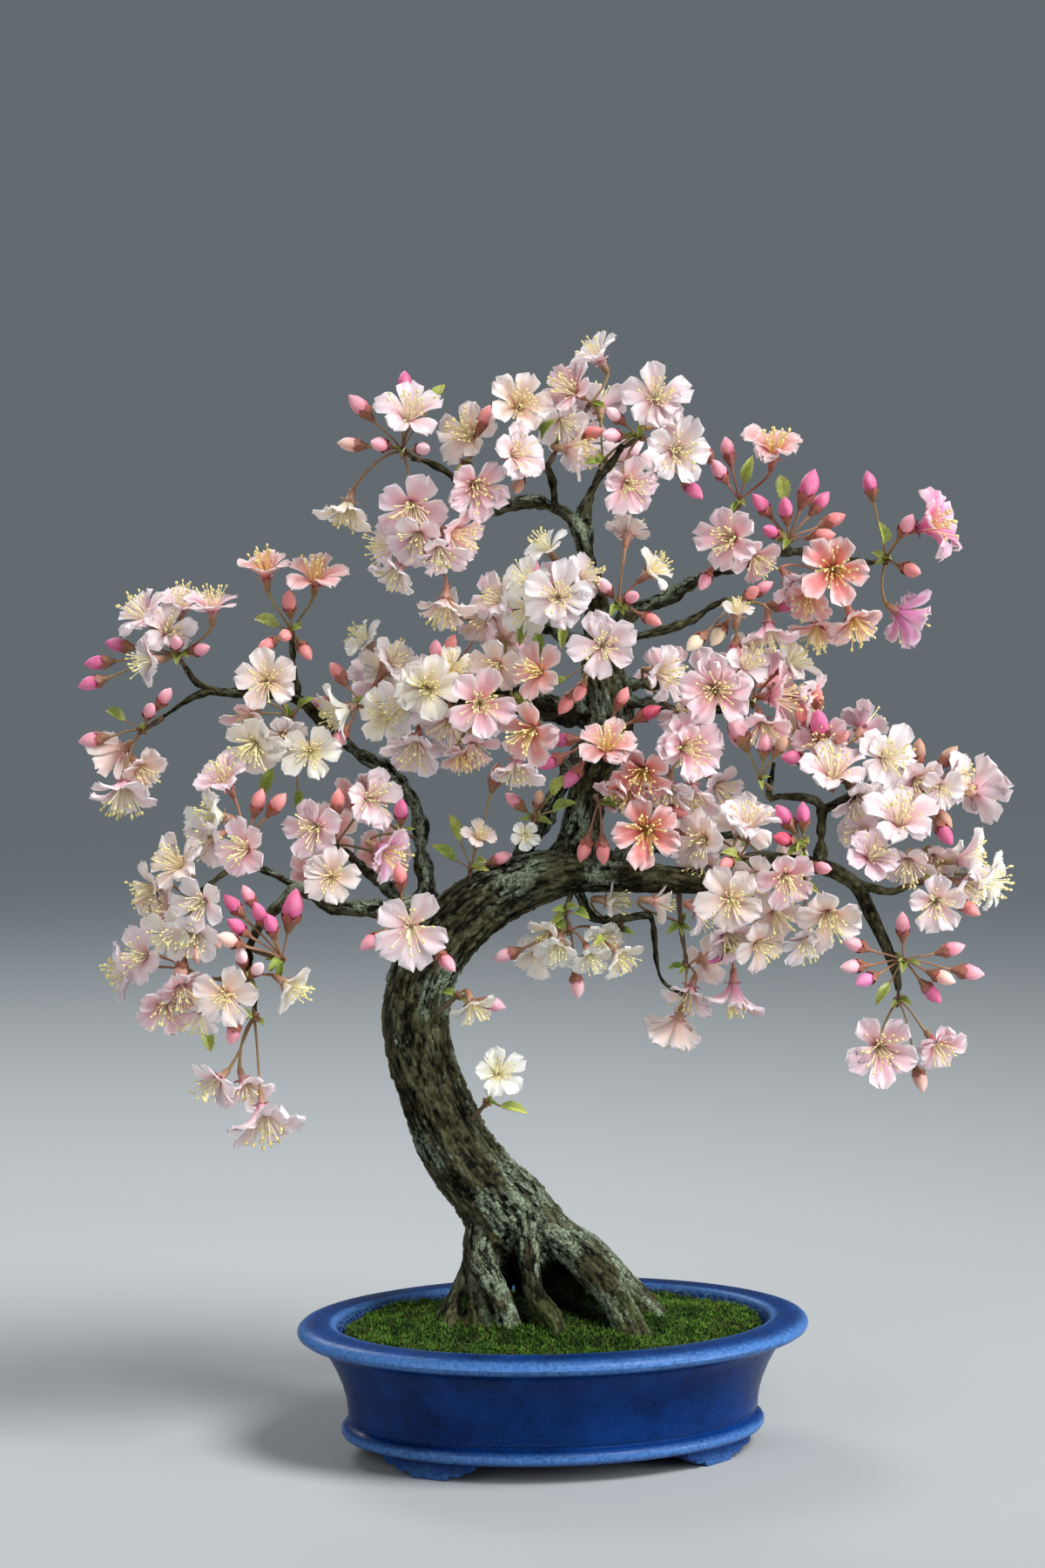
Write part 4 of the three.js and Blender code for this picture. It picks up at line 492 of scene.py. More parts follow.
        buds=((-10, 392, -70, 9),)),
    Spray("back_right", Tone.PINK, twigs=(((70, 339, -54), (77, 338, -62)),),
        blooms=((71, 344, -80, 30, 175, 10), (96, 344, -66, 28, 140, 10), (62, 318, -64, 28, -175, -20),
            (50, 347, -62, 26, -150, 15)),
        buds=((80, 320, -70, 9),)),
    Spray("back_left", Tone.BLUSH, twigs=(((-50, 335.7, -53), (-57, 336, -60)),),
        blooms=((-56, 341, -74, 30, -175, 5), (-32, 333, -66, 28, 165, -5), (-79, 345, -60, 26, -140, 15),
            (-62, 316, -62, 26, -170, -40))),
    Spray("back_lower_right", Tone.PEACH, twigs=(((74, 275.2, -53), (81, 275, -60)),),
        blooms=((84, 279, -78, 30, 175, 5), (62, 276, -68, 28, -160, 10), (102, 262, -60, 26, 145, -10),
            (76, 252, -62, 26, 180, -40))),
    Spray("back_lower_left", Tone.CORAL, twigs=(((-91.5, 267.3, -42), (-97, 271, -48)),),
        blooms=((-101, 276, -62, 28, -175, 5), (-78, 268, -56, 28, 160, -10),
            (-105, 258, -48, 26, -150, -30), (-86, 290, -48, 26, 170, 30))),
)


# ---- modelling tools


def linked(name: str, data: bpy.types.ID) -> Piece:
    """A new object that holds some data, linked to the scene."""
    piece = bpy.data.objects.new(name, data)
    bpy.context.scene.collection.objects.link(piece)
    return piece


def select_only(piece: Piece) -> None:
    """Makes a piece the only one selected, and active."""
    bpy.ops.object.select_all(action="DESELECT")
    piece.select_set(True)
    bpy.context.view_layer.objects.active = piece


def add_primitive(add: Callable[..., set], name: str, **sizes: object) -> Piece:
    """Adds a primitive by its operator with nothing else selected.

    Args:
        add: One of bpy.ops.mesh.primitive_*_add.
        name: The new object's name.
        **sizes: The operator's own settings.

    Returns:
        The new object, selected and active.
    """
    bpy.ops.object.select_all(action="DESELECT")
    add(**sizes)
    piece = bpy.context.object
    piece.name = piece.data.name = name
    return piece


def apply_modifier(piece: Piece, kind: str, **settings: object) -> None:
    """Adds a modifier to a piece and applies it.

    Args:
        piece: The piece.
        kind: The modifier's kind.
        **settings: Its own settings.
    """
    select_only(piece)
    modifier = piece.modifiers.new(kind.lower(), kind)
    for key, value in settings.items():
        setattr(modifier, key, value)
    bpy.ops.object.modifier_apply(modifier=modifier.name)


def read_rows(items: bpy.types.bpy_prop_collection, key: str) -> Array:
    """Three numbers of each item, one row an item."""
    flat = np.empty(len(items) * 3)
    items.foreach_get(key, flat)
    return flat.reshape(-1, 3)


def points_of(piece: Piece) -> Array:
    """The places of a piece's vertices."""
    return read_rows(piece.data.vertices, "co")


def normals_of(piece: Piece) -> Array:
    """The directions that a piece's vertices face."""
    return read_rows(piece.data.vertex_normals, "vector")


def move_points(piece: Piece, points: Array) -> None:
    """Puts a piece's vertices at new places."""
    piece.data.vertices.foreach_set("co", points.ravel())
    piece.data.update()


def face_outward(piece: Piece) -> None:
    """Welds a piece's doubles and turns its faces outward.

    Args:
        piece: The piece, a closed one.
    """
    select_only(piece)
    bpy.ops.object.mode_set(mode="EDIT")
    bpy.ops.mesh.select_all(action="SELECT")
    bpy.ops.mesh.remove_doubles(threshold=1e-6)
    bpy.ops.mesh.normals_make_consistent(inside=False)
    bpy.ops.object.mode_set(mode="OBJECT")


def smooth(piece: Piece, degrees: float) -> None:
    """Shades a piece smooth, apart from edges sharper than an angle."""
    select_only(piece)
    bpy.ops.object.shade_smooth_by_angle(angle=math.radians(degrees))


def give(piece: Piece, name: str, values: Array) -> None:
    """Stores a number or a place for each of a piece's vertices, for its material to read."""
    kind, key = ("FLOAT", "value") if values.ndim == 1 else ("FLOAT_VECTOR", "vector")
    layer = piece.data.attributes.new(name, kind, "POINT")
    layer.data.foreach_set(key, values.astype(np.float32).ravel())


def cover(piece: Piece, material: Material) -> None:
    """Gives a piece one material in the place of any it has."""
    piece.data.materials.clear()
    piece.data.materials.append(material)


def settle(piece: Piece, slot: str, *nodes: str) -> None:
    """Makes a finished piece ride with the object and stand for its nodes.

    Args:
        piece: The piece.
        slot: Not used.
        *nodes: The nodes, if any.
    """
    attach(piece, "root")
    if nodes:
        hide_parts(*nodes)
    log.info("%s: %d faces", piece.name, len(piece.data.polygons))


def ringed(name: str, rings: Sequence[Row], sides: int) -> Piece:
    """Models a closed body from a circle that is extruded and resized ring by ring.

    Args:
        name: The body's name.
        rings: Each ring's half length, half width and height, from one end to the other.
        sides: How many sides the rings have.

    Returns:
        The body.
    """
    long, wide, height = rings[0]
    settings = {"vertices": sides, "radius": long, "location": (0, 0, height), "fill_type": "NGON"}
    piece = add_primitive(bpy.ops.mesh.primitive_circle_add, name, **settings)
    piece.scale = (1, wide / long, 1)
    bpy.ops.object.transform_apply(location=True, scale=True)
    bpy.ops.object.mode_set(mode="EDIT")
    bpy.ops.mesh.select_all(action="SELECT")
    for (long, wide, low), (longer, wider, high) in zip(rings, rings[1:]):
        bpy.ops.mesh.extrude_region_move(TRANSFORM_OT_translate={"value": (0, 0, high - low)})
        bpy.ops.transform.resize(value=(longer / long, wider / wide, 1), center_override=(0, 0, high))
    bpy.ops.object.mode_set(mode="OBJECT")
    face_outward(piece)
    return piece


@dataclass
class Pattern:
    """A small mesh that is modelled once and copied often.

    points are its vertices, corners the vertex of each face's corner, sizes the corners of each face, and
    marks each vertex's own [across, along], both from 0 to 1.
    """

    points: Array
    corners: Array
    sizes: Array
    marks: Array

    @classmethod
    def taken_from(cls, piece: Piece, marks: Array | None = None) -> Pattern:
        """Reads a modelled piece and removes it.

        Args:
            piece: The piece, which goes.
            marks: Each vertex's marks, or None to take them from the piece's UV map.

        Returns:
            The pattern.
        """
        mesh = piece.data
        corners = np.empty(len(mesh.loops), np.int64)
        mesh.loops.foreach_get("vertex_index", corners)
        sizes = np.empty(len(mesh.polygons), np.int64)
        mesh.polygons.foreach_get("loop_total", sizes)
        if marks is None:
            flat = np.empty(len(mesh.loops) * 2)
            mesh.uv_layers.active.data.foreach_get("uv", flat)
            marks = np.empty((len(mesh.vertices), 2))
            marks[corners] = flat.reshape(-1, 2)
        pattern = cls(points_of(piece), corners, sizes, marks)
        bpy.data.objects.remove(piece)
        return pattern

    @classmethod
    def joined(cls, *patterns: Pattern) -> Pattern:
        """Several patterns as one."""
        starts = np.cumsum([0] + [len(p.points) for p in patterns])
        parts = [(p.points, p.corners + start, p.sizes, p.marks) for p, start in zip(patterns, starts)]
        return cls(*map(np.concatenate, zip(*parts)))

    @classmethod
    def lofted(cls, points: Array, sides: int) -> Pattern:
        """A closed body over rings of points, so many to a ring, with marks around and along it.

        Args:
            points: The rings' points, ring after ring.
            sides: How many points a ring has.

        Returns:
            The body.
        """
        count = len(points) // sides
        k, j = np.meshgrid(np.arange(count - 1), np.arange(sides), indexing="ij")
        here, following = k * sides + j, k * sides + (j + 1) % sides
        walls = np.stack((here, following, following + sides, here + sides), -1).ravel()
        ends = np.arange(sides)[::-1], np.arange(sides) + (count - 1) * sides
        around, along = np.tile(np.arange(sides) / sides, count), np.repeat(np.linspace(0, 1, count), sides)
        face_sizes = np.array([4] * ((count - 1) * sides) + [sides, sides])
        return cls(points, np.concatenate((walls, *ends)), face_sizes, np.stack((around, along), 1))

    def moved(self, turn: Array, size: float | Array = 1, to: Array | float = 0) -> Pattern:
        """A copy that is sized, then turned by a matrix of its three axes as columns, then moved."""
        return Pattern(self.points * size @ turn.T + to, self.corners, self.sizes, self.marks)


def untwisted(points: Array) -> tuple[Array, Array]:
    """Two directions square to a line at each of its points, which don't twist along it.

    Args:
        points: The line's points.

    Returns:
        Both directions, a row for each point.
    """
    ways = np.gradient(points, axis=0)
    ways /= np.maximum(np.linalg.norm(ways, axis=1, keepdims=True), 1e-12)
    sides, side = [], np.array((0.2, 1.0, 0.1))
    for way in ways:
        side = unit(side - way * (side @ way))
        sides.append(side)
    return np.array(sides), np.cross(ways, sides)


def tube(points: Array, radii: Array, sides: int) -> Pattern:
    """A closed tube of some sides along a line, with a radius at each of the line's points.

    Args:
        points: The line.
        radii: The radius at each point.
        sides: How many sides it has.

    Returns:
        The tube.
    """
    angles = (np.arange(sides) * 2 * np.pi / sides)[:, None]
    side, beside = untwisted(points)
    around = np.cos(angles) * side[:, None] + np.sin(angles) * beside[:, None]
    rings = points[:, None] + np.reshape(radii, (-1, 1, 1)) * around
    return Pattern.lofted(rings.reshape(-1, 3), sides)


def arc(start: Array, way: Array, end: Array, arrival: Array, count: int) -> Array:
    """A smooth line of some points that leaves its start one way and arrives at its end another.

    Args:
        start: Where it starts.
        way: The direction in which it leaves.
        end: Where it ends.
        arrival: The direction in which it arrives.
        count: How many points it has.

    Returns:
        Its points.
    """
    reach = np.linalg.norm(end - start) / 3
    first, second = start + unit(way) * reach, end - unit(arrival) * reach
    share = np.linspace(0, 1, count)[:, None]
    rest = 1 - share
    return rest**3 * start + 3 * rest**2 * share * first + 3 * rest * share**2 * second + share**3 * end


@dataclass
class Growth:
    """A piece that grows from many copied patterns, each with its finish and the tint of its vertices."""

    name: str
    patterns: list[Pattern] = field(default_factory=list)
    tints: list[Array] = field(default_factory=list)
    finishes: list[int] = field(default_factory=list)

    def add(self, pattern: Pattern, finish: int, tint: Array) -> None:
        """Adds a pattern in one finish, with one tint or a tint for each vertex."""
        self.patterns.append(pattern)
        self.finishes.append(finish)
        self.tints.append(np.broadcast_to(tint, (len(pattern.points), 3)))

    def grown(self, materials: Sequence[Material], sharp: float = 55) -> Piece:
        """Builds the piece.

        Args:
            materials: The materials that the finishes number.
            sharp: The angle in degrees from which an edge stays sharp.

        Returns:
            The finished object.
        """
        whole = Pattern.joined(*self.patterns)
        mesh = bpy.data.meshes.new(self.name)
        mesh.vertices.add(len(whole.points))
        mesh.vertices.foreach_set("co", whole.points.ravel())
        mesh.loops.add(len(whole.corners))
        mesh.loops.foreach_set("vertex_index", whole.corners)
        mesh.polygons.add(len(whole.sizes))
        mesh.polygons.foreach_set("loop_start", np.concatenate(((0,), np.cumsum(whole.sizes)[:-1])))
        finish = np.repeat(self.finishes, [len(p.sizes) for p in self.patterns])
        mesh.polygons.foreach_set("material_index", finish)
        mesh.update(calc_edges=True)
        marks = mesh.uv_layers.new(name="marks")
        marks.data.foreach_set("uv", whole.marks[whole.corners].ravel())
        tint = mesh.color_attributes.new("tint", "FLOAT_COLOR", "POINT")
        colours = np.ones((len(whole.points), 4))
        colours[:, :3] = np.concatenate(self.tints)
        tint.data.foreach_set("color", colours.ravel())
        for material in materials:
            mesh.materials.append(material)
        piece = linked(self.name, mesh)
        smooth(piece, sharp)
        return piece


# ---- materials


@dataclass
class Finish:
    """A material whose nodes are added from left to right.

    Sockets are named with an underscore for a space, and each is fed a source, a number, a place, or a
    colour code such as "#f4cdd3".
    """

    name: str
    roughness: float

    def __post_init__(self) -> None:
        """Starts the material with one surface shader and paints it."""
        self.material = bpy.data.materials.new(self.name)
        self.material.use_nodes = True
        self.tree = self.material.node_tree
        self.places: Socket = self.node("TexCoord").outputs["Object"]
        self.set(Roughness=self.roughness)
        self.paint()

    def paint(self) -> None:
        """Adds the finish's own nodes."""

    def feed(self, socket: Socket, value: Feed) -> None:
        """Joins a source to a socket, or sets the socket's own value.

        Args:
            socket: The socket.
            value: The source or the value.
        """
        if isinstance(value, Socket):
            self.tree.links.new(value, socket)
        else:
            socket.default_value = (*linear(value), 1) if isinstance(value, str) else value

    def set(self, node: bpy.types.Node | None = None, **values: Feed) -> None:
        """Feeds the sockets of a node, or of the surface shader."""
        node = node or self.tree.nodes["Principled BSDF"]
        for key, value in values.items():
            self.feed(node.inputs[key.replace("_", " ")], value)

    def node(self, kind: str, **values: Feed) -> bpy.types.Node:
        """Adds a node of a kind and feeds its sockets."""
        node = self.tree.nodes.new(f"ShaderNode{kind}")
        self.set(node, **values)
        return node

    def held(self, name: str, output: str = "Fac") -> Socket:
        """What the mesh holds for each vertex: a number, or its "Color" or "Vector"."""
        node = self.node("Attribute")
        node.attribute_name = name
        return node.outputs[output]

    def marks(self, size: Colour) -> Socket:
        """The mesh's own marks across and along each blade, stretched."""
        node = self.node("UVMap")
        node.uv_map = "marks"
        return self.node("Mapping", Vector=node.outputs["UV"], Scale=size).outputs["Vector"]

    def grain(
        self, scale: float, detail: float = 3, rough: float = 0.55, places: Socket | None = None
    ) -> Socket:
        """Noise of so many grains to a metre, or to a mark."""
        node = self.node("TexNoise", Vector=places or self.places, Scale=scale)
        self.set(node, Detail=detail, Roughness=rough)
        return node.outputs["Fac"]

    def cells(self, scale: float) -> Socket:
        """The distance to an edge in a field of irregular cells, so many to a metre."""
        node = self.node("TexVoronoi", Vector=self.places, Scale=scale)
        node.feature = "DISTANCE_TO_EDGE"
        return node.outputs["Distance"]

    def band(self, source: Socket, low: float, high: float, start: float = 0, end: float = 1) -> Socket:
        """A value eased from start to end while the source goes from low to high."""
        node = self.node("MapRange", Value=source, From_Min=low, From_Max=high, To_Min=start, To_Max=end)
        node.interpolation_type = "SMOOTHSTEP"
        return node.outputs["Result"]

    def worked(self, work: str, first: Socket, second: Socket | float) -> Socket:
        """Two values put together by a kind of arithmetic.

        Args:
            work: The kind, as Blender names it.
            first: A source.
            second: A source or a number.

        Returns:
            The result.
        """
        node = self.node("Math")
        node.operation = work
        self.feed(node.inputs[0], first)
        self.feed(node.inputs[1], second)
        return node.outputs["Value"]

    def ramp(self, source: Socket, *stops: tuple[float, str]) -> Socket:
        """A colour read from a value between stops of [place, colour code].

        Args:
            source: The value.
            *stops: The stops, from low to high.

        Returns:
            The colour.
        """
        node = self.node("ValToRGB", Fac=source)
        ramp = node.color_ramp
        while len(ramp.elements) < len(stops):
            ramp.elements.new(0.5)
        for element, (spot, code) in zip(ramp.elements, stops):
            element.position = spot
            element.color = (*linear(code), 1)
        return node.outputs["Color"]

    def mixed(self, share: Socket | float, first: Feed, second: Feed, blend: str = "MIX") -> Socket:
        """The first colour mixed with the second by a share.

        Args:
            share: How much of the second.
            first: The first colour.
            second: The second colour.
            blend: The kind of blend.

        Returns:
            The mixture.
        """
        node = self.node("Mix")
        node.data_type = "RGBA"
        node.blend_type = blend
        for place_of_socket, value in ((0, share), (6, first), (7, second)):
            self.feed(node.inputs[place_of_socket], value)
        return node.outputs[2]

    def bump(self, height: Socket, depth: float, strength: float = 1) -> None:
        """Raises the surface by a height that stands so many metres proud."""
        node = self.node("Bump", Height=height, Distance=depth, Strength=strength)
        self.set(Normal=node.outputs["Normal"])


@dataclass
class PetalFinish(Finish):
    """Thin satin petals, tinted from throat to edge and faintly veined along their length."""

    name: str = "petal"
    roughness: float = 0.5
    veins: float = 0.34
    glow: float = 0.5

    def paint(self) -> None:
        """Adds the finish's own nodes."""
        streaks = self.grain(1, 4, 0.6, self.marks((34, 1.4, 1)))
        veins = self.band(streaks, 0.5, 0.72, 0, self.veins)
        cloud = self.band(self.grain(260, 2), 0.3, 0.75, 0, 0.1)
        colour = self.mixed(veins, self.held("tint", "Color"), "#d98a9c", "MULTIPLY")
        colour = self.mixed(cloud, colour, "#fff6f2", "SCREEN")
        self.bump(streaks, 0.00016, 0.6)
        self.set(Base_Color=colour, Specular_IOR_Level=0.3)
        self.set(Subsurface_Weight=self.glow, Subsurface_Radius=(1.0, 0.75, 0.66), Subsurface_Scale=0.0028)


@dataclass
class FleshFinish(Finish):
    """The green and tan parts: stalks, calyxes, stamens and bud scales, tinted where they grow."""

    speckles: float = 900
    shade: str = "#8a6a50"

    def paint(self) -> None:
        """Adds the finish's own nodes."""
        speckle = self.grain(self.speckles)
        share = self.band(speckle, 0.35, 0.75, 0, 0.4)
        self.set(Base_Color=self.mixed(share, self.held("tint", "Color"), self.shade, "MULTIPLY"))
        self.bump(speckle, 0.0001, 0.5)


@dataclass
class LeafFinish(Finish):
    """Young yellow-green leaves with a paler midrib and side veins."""

    name: str = "leaf"
    roughness: float = 0.42

    def paint(self) -> None:
        """Adds the finish's own nodes."""
        cloud = self.band(self.grain(220), 0.35, 0.7, 0, 0.5)
        colour = self.mixed(cloud, self.held("tint", "Color"), "#9a8f4a", "MULTIPLY")
        veins = self.grain(1, 3, 0.5, self.marks((5, 16, 1)))
        colour = self.mixed(self.band(veins, 0.52, 0.7, 0, 0.35), colour, "#d8dc9a")
        self.bump(veins, 0.00015, 0.5)
        self.set(Base_Color=colour)
        self.set(Subsurface_Weight=0.15, Subsurface_Radius=(0.6, 1.0, 0.3), Subsurface_Scale=0.001)


@dataclass
class BarkFinish(Finish):
    """Fissured olive-brown bark, dark in its cracks partly by painted shade, with crusts of grey-green
    lichen.
    """

    name: str = "bark"
    roughness: float = 0.9
    # near-black colour of the furrows: partly the bark's own dark, partly painted shade
    crack_and_shade: str = "#070602"
    body: str = "#383623"
    ridge: str = "#6f6d51"
    warm: str = "#635a3a"
    lichen: str = "#727e68"
    pale_lichen: str = "#9fad95"
    damp: str = "#4c5f2a"

    def paint(self) -> None:
        """Adds the finish's own nodes."""
        fine, crumbs = self.grain(1300, 5, 0.7), self.grain(800, 4, 0.7)
        fibre = self.grain(560, 7, 0.74, self.held("fibre", "Vector"))
        height = self.worked("ADD", self.held("relief"), self.band(fibre, 0.3, 0.7, -0.27, 0.24))
        # low relief takes the crack colour: painted shade in the furrows and hollows, partly the bark's own
        # dark
        stops = (0.0, self.crack_and_shade), (0.24, self.crack_and_shade), (0.46, self.body), (0.9, self.ridge)
        colour = self.ramp(height, *stops)
        warmth = self.band(self.grain(55, 3), 0.42, 0.66, 0, 0.6)
        colour = self.mixed(warmth, colour, self.warm, "OVERLAY")
        patches = self.grain(95, 8, 0.72, self.held("fibre", "Vector"))
        thick = self.worked("ADD", patches, self.worked("MULTIPLY", self.held("lichen"), 0.22))
        spread = self.worked("MULTIPLY", self.band(thick, 0.6, 0.7), self.band(height, 0.3, 0.52))
        crust = self.ramp(crumbs, (0.36, self.body), (0.47, self.lichen), (0.6, self.pale_lichen))
        colour = self.mixed(spread, colour, crust)
        algae = self.band(self.grain(160, 5, 0.7), 0.46, 0.62)
        algae = self.worked("MULTIPLY", algae, self.held("damp"))
        self.set(Base_Color=self.mixed(algae, colour, self.damp), Specular_IOR_Level=0.12)
        crumbled = self.worked("MULTIPLY", crumbs, spread)
        rough = self.worked("ADD", self.worked("ADD", fine, spread), crumbled)
        self.bump(self.worked("ADD", rough, self.worked("MULTIPLY", fibre, 2.5)), 0.0007, 0.9)


@dataclass
class MossFinish(Finish):
    """Fine green moss, dark between its shoots by painted shade in its tint, with a few dry brown flecks."""

    name: str = "moss"
    roughness: float = 0.92

    def paint(self) -> None:
        """Adds the finish's own nodes."""
        patch = self.band(self.grain(90, 4), 0.4, 0.66, 0, 0.6)
        colour = self.mixed(patch, self.held("tint", "Color"), "#3a6216", "OVERLAY")
        flecks = self.band(self.grain(240, 5, 0.7), 0.68, 0.76, 0, 0.4)
        self.set(Base_Color=self.mixed(flecks, colour, "#7a6238"), Specular_IOR_Level=0.15)
        self.bump(self.grain(1500, 4), 0.0006, 0.8)


@dataclass
class GlazeFinish(Finish):
    """A deep blue semi-gloss glaze, paler over the edges: partly glaze run thin, partly painted highlight."""

    name: str = "glaze"
    roughness: float = 0.3
    deep: str = "#00153e"
    light: str = "#063272"
    speckle: str = "#1c54ac"
    # the pale of the edges: partly glaze run thin, partly painted highlight
    thin: str = "#5686c5"
    crackle: str = "#a9bfe4"

    def paint(self) -> None:
        """Adds the finish's own nodes."""
        colour = self.ramp(self.grain(38, 5, 0.6), (0.28, self.deep), (0.68, self.light))
        speckle = self.band(self.grain(1300, 3, 0.6), 0.54, 0.68, 0, 0.36)
        colour = self.mixed(speckle, colour, self.speckle)
        # painted highlight, with the glaze's own thin break, along the rim and the bead
        broken = self.worked("MULTIPLY", self.grain(620, 5, 0.65), self.held("thin"))
        colour = self.mixed(self.band(broken, 0.05, 0.68, 0, 0.78), colour, self.thin)
        cracks = self.band(self.cells(230), 0.0, 0.05, 0.5, 0)
        cracks = self.worked("MULTIPLY", cracks, self.held("crackle"))
        self.set(Base_Color=self.mixed(cracks, colour, self.crackle), Specular_IOR_Level=0.1)
        self.set(Roughness=self.band(self.grain(500, 3), 0.3, 0.7, 0.24, 0.4))
        self.bump(self.grain(240, 4), 0.0003, 0.35)


@dataclass
class SoilFinish(Finish):
    """Damp crumbly soil."""

    name: str = "soil"
    roughness: float = 0.95

    def paint(self) -> None:
        """Adds the finish's own nodes."""
        crumb = self.grain(420, 5, 0.7)
        self.set(Base_Color=self.ramp(crumb, (0.3, "#20160e"), (0.7, "#5b4a36")))
        self.bump(crumb, 0.0015, 0.8)


# ---- the tree


@dataclass(frozen=True)
class Line:
    """A limb's smooth middle line: each point's radius, its way along, and two directions square to it."""

    points: Array
    radii: Array
    along: Array
    sides: Array
    besides: Array

    @classmethod
    def through(cls, route: Route, step: float) -> Line:
        """A smooth line through a limb's rows.

        Args:
            route: The rows, with the radius in millimetres last.
            step: The distance between points.

        Returns:
            The line.
        """
        knots = place(route)
        sizes = np.array([row[3] * reach_scale(row[2]) * MM for row in route])
        knots = np.concatenate((2 * knots[:1] - knots[1:2], knots, 2 * knots[-1:] - knots[-2:-1]))
        sizes = np.concatenate((sizes[:1], sizes, sizes[-1:]))
        points, radii = [], []
        for k in range(1, len(knots) - 2):
            a, b, c, d = knots[k - 1 : k + 3]
            count = max(int(np.linalg.norm(c - b) / step), 1)
            share = np.arange(count)[:, None] / count
            curve = 2 * b + (c - a) * share
            curve = curve + (2 * a - 5 * b + 4 * c - d) * share**2
            points.append(0.5 * (curve + (3 * b - a - 3 * c + d) * share**3))
            radii.append(sizes[k] + (sizes[k + 1] - sizes[k]) * eased(share[:, 0], 0, 1))
        line = np.concatenate((*points, knots[-2:-1]))
        along = np.concatenate(((0,), np.cumsum(np.linalg.norm(np.diff(line, axis=0), axis=1))))
        return cls(line, np.concatenate((*radii, sizes[-1:])), along, *untwisted(line))


@dataclass(frozen=True)
class BarkRelief:
    """How old bark stands up and cracks: long ropes of wood, and plates with fissures between them."""

    rope: float = 7.5 * MM
    rope_stretch: float = 0.2
    plate: float = 2.6 * MM
    plate_stretch: float = 0.4
    fibre_stretch: float = 0.4
    spiral: float = 4.5
    depth: float = 2.1 * MM
    full_radius: float = 14 * MM

    def heights(self, turns: Array, along: Array, radii: Array) -> Array:
        """The relief at places on a limb, from about 0 in a furrow to 1 on a ridge.

        Args:
            turns: Each place's angle round the limb, in radians.
            along: How far along the limb it is.
            radii: The limb's radius there.

        Returns:
            How high each place stands on its rope, and how high in its plate.
        """
        found = np.empty((2, len(turns)))
        for k, (turn, way, radius) in enumerate(zip(turns, along, radii)):
            turn += way * self.spiral
            x, y = math.cos(turn) * radius, math.sin(turn) * radius
            spot = Vector((x, y, way * self.plate_stretch))
            wander = noise.noise_vector(spot / (3 * self.plate)) * 0.8
            near, second = noise.voronoi(spot / self.plate + wander)[0][:2]
            plate = min((second - near) * 2.6, 1)
            bend = noise.fractal(Vector((x, y, way * self.rope_stretch)) / self.rope, 0.9, 2.1, 3)
            fine = noise.noise(spot / (0.4 * self.plate))
            found[:, k] = max(1 - abs(bend) * 2.2, 0), plate + 0.35 * fine
        return found

    def depths(self, radii: Array) -> Array:
        """How deep the relief is on limbs of some radii: shallower on thin ones."""
        return self.depth * np.clip(radii / self.full_radius, 0.02, 1.2) ** 0.8

    def fibres(self, turns: Array, along: Array, radii: Array) -> Array:
        """Where places on a limb, given as for heights, lie in its wood, with its length drawn short."""
        return np.stack((np.cos(turns) * radii, np.sin(turns) * radii, along * self.fibre_stretch), 1)


